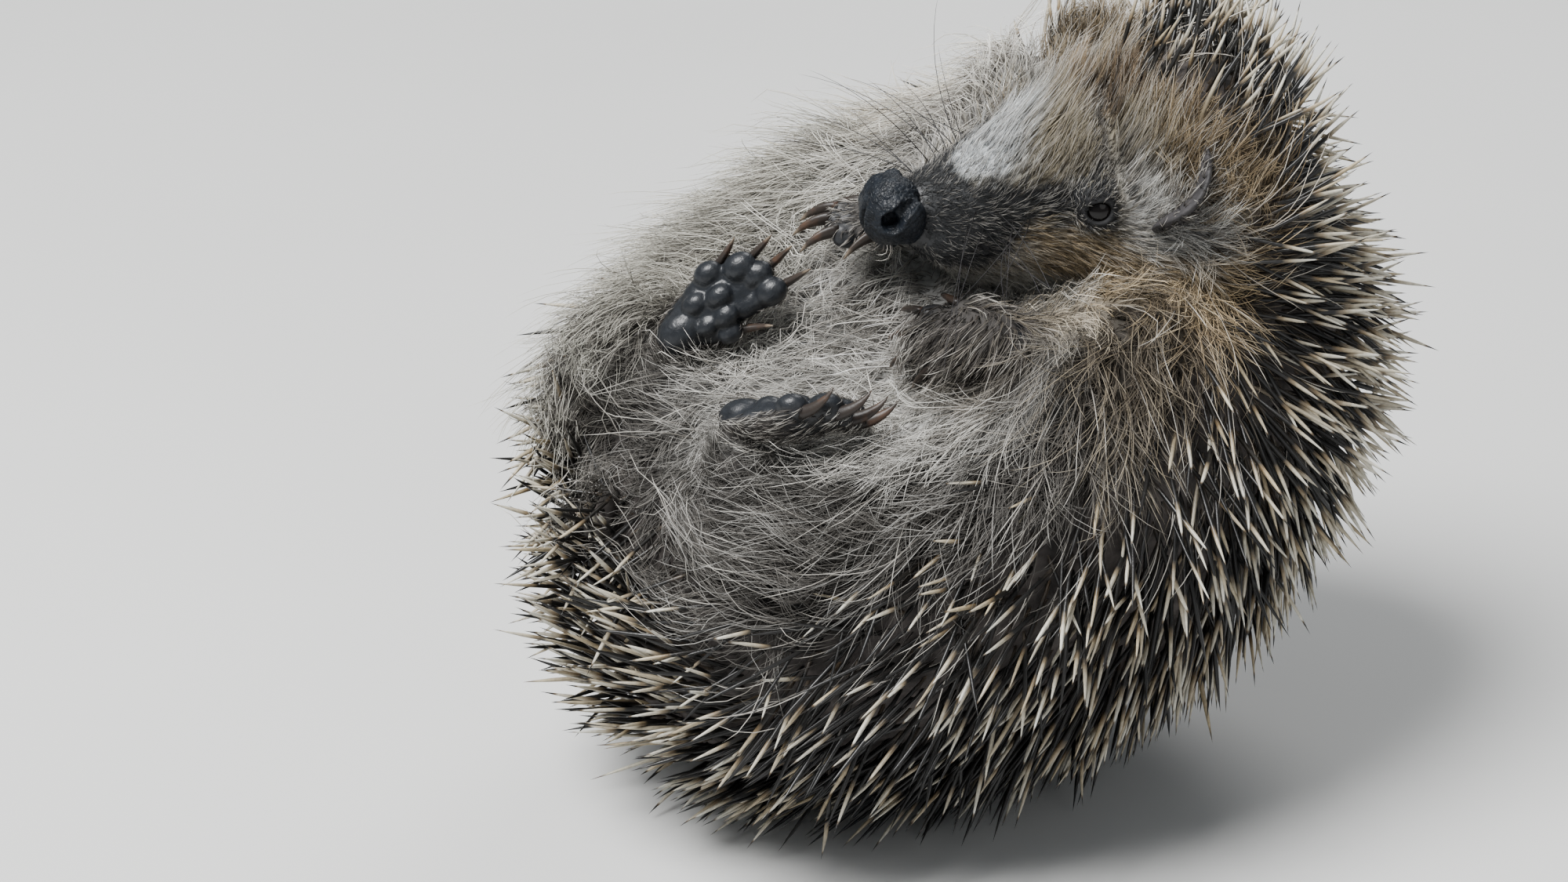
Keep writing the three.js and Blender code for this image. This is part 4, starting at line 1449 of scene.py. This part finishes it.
def grow_whiskers():
    """Dark whiskers from the pads on each side of the muzzle."""
    local = np.random.default_rng(71)
    segments = 9
    t = np.linspace(0, 1, segments + 1)[:, None]
    for side, name in SIDES:
        x, y, z = [local.uniform(*ends, WHISKERS) for ends in ((12, 25), (6.5, 8.5), (-6, 1.5))]
        p = head.out(np.stack([x, y * side, z], -1))
        for _ in range(4):
            value, normals = sample(p)
            p = p - normals * value[:, None]
        share = local.uniform(-0.2, 1.0, WHISKERS)[:, None]
        way = vec(0.1, side, 0.25) + share * vec(0.9, 0, 0.1)
        way = unit(way + local.normal(0, 0.12, (WHISKERS, 3))) @ head.axes
        droop = unit(local.normal(0, 1, (WHISKERS, 3)) + vec(0, 0, -1.2)) @ head.axes
        span = local.uniform(20, 36, WHISKERS)[:, None, None]
        paths = p[:, None] + way[:, None] * t * span + droop[:, None] * t**2 * (span * 0.3)
        paths[:, 0] -= normals * 0.4
        strand_piece(
            f"whiskers_{name}", paths, np.full(WHISKERS, 0.2), normals, paths[:, 0],
            np.linspace(1, 0.35, segments), 5, head_middle, tint=np.tile(WHISKER, (WHISKERS, 1)),
        )


# The number after each look is the least gap between locks, in mm; most is how many are tried.
grow_quills()
grow_locks("fur", fur_area, fur_look, 1.22, most=42000, seed=31, strands=6, segments=5, tone=fur_tone)
grow_locks("bristles", bristle_area, BRISTLES, 3.0, most=9000, seed=41, strands=2, segments=6)
grow_locks(
    "guard_hair", guard_area, GUARD_HAIR, 4.2, most=3000, seed=45, strands=2, segments=7, tone=fur_tone
)
grow_locks(
    "face_fur", face_area, face_look, face_gap, most=44000, seed=51, strands=5, segments=3,
    centre=head_middle, tone=FACE_HAIR, blur=1.1,
)
grow_locks(
    "paw_fur", paw_area, paw_look, 0.8, most=14000, seed=61, strands=3, segments=4, centre=PAWS_MIDDLE
)
grow_ears()
grow_whiskers()


# ---- Floor, light and camera ----
def make_stage():
    bpy.ops.mesh.primitive_plane_add(size=6, location=(0, 0, 0))
    floor = bpy.context.object
    floor.name = "floor"
    n = Nodes("floor", Roughness=0.7)
    n.set(Base_Color=n.ramp(n.noise(3, 4), (0.3, (0.5, 0.5, 0.49)), (0.7, (0.55, 0.55, 0.54))))
    floor.data.materials.append(n.material)
    world_light = bpy.data.worlds.new("studio")
    world_light.use_nodes = True
    inputs = world_light.node_tree.nodes["Background"].inputs
    inputs["Color"].default_value, inputs["Strength"].default_value = SKY, SKY_STRENGTH
    bpy.context.scene.world = world_light
    for name, place, size, watts in LIGHTS:
        light = bpy.data.lights.new(name, "AREA")
        light.shape, light.size, light.energy = "DISK", size, watts
        lamp = bpy.data.objects.new(name, light)
        lamp.location = place
        toward = -unit(np.array(place) - vec(0, 0, 0.06))
        side = unit(np.cross(toward, vec(0, 0, 1.0)))
        lamp.rotation_euler = Matrix([side, np.cross(side, toward), -toward]).transposed().to_euler()
        bpy.context.scene.collection.objects.link(lamp)


def make_camera():
    camera = bpy.data.cameras.new("camera")
    camera.sensor_width, camera.lens = 36, FOCAL
    camera.shift_x, camera.shift_y = SHIFT
    camera.clip_start, camera.clip_end = 0.02, 20
    eye = bpy.data.objects.new("camera", camera)
    rise = math.radians(CAMERA_RISE)
    eye.location = lie_at / 1000 + CAMERA_AWAY * vec(0, -math.cos(rise), math.sin(rise))
    eye.rotation_euler = (math.pi / 2 - rise, 0, 0)
    bpy.context.scene.collection.objects.link(eye)
    bpy.context.scene.camera = eye


make_stage()
make_camera()
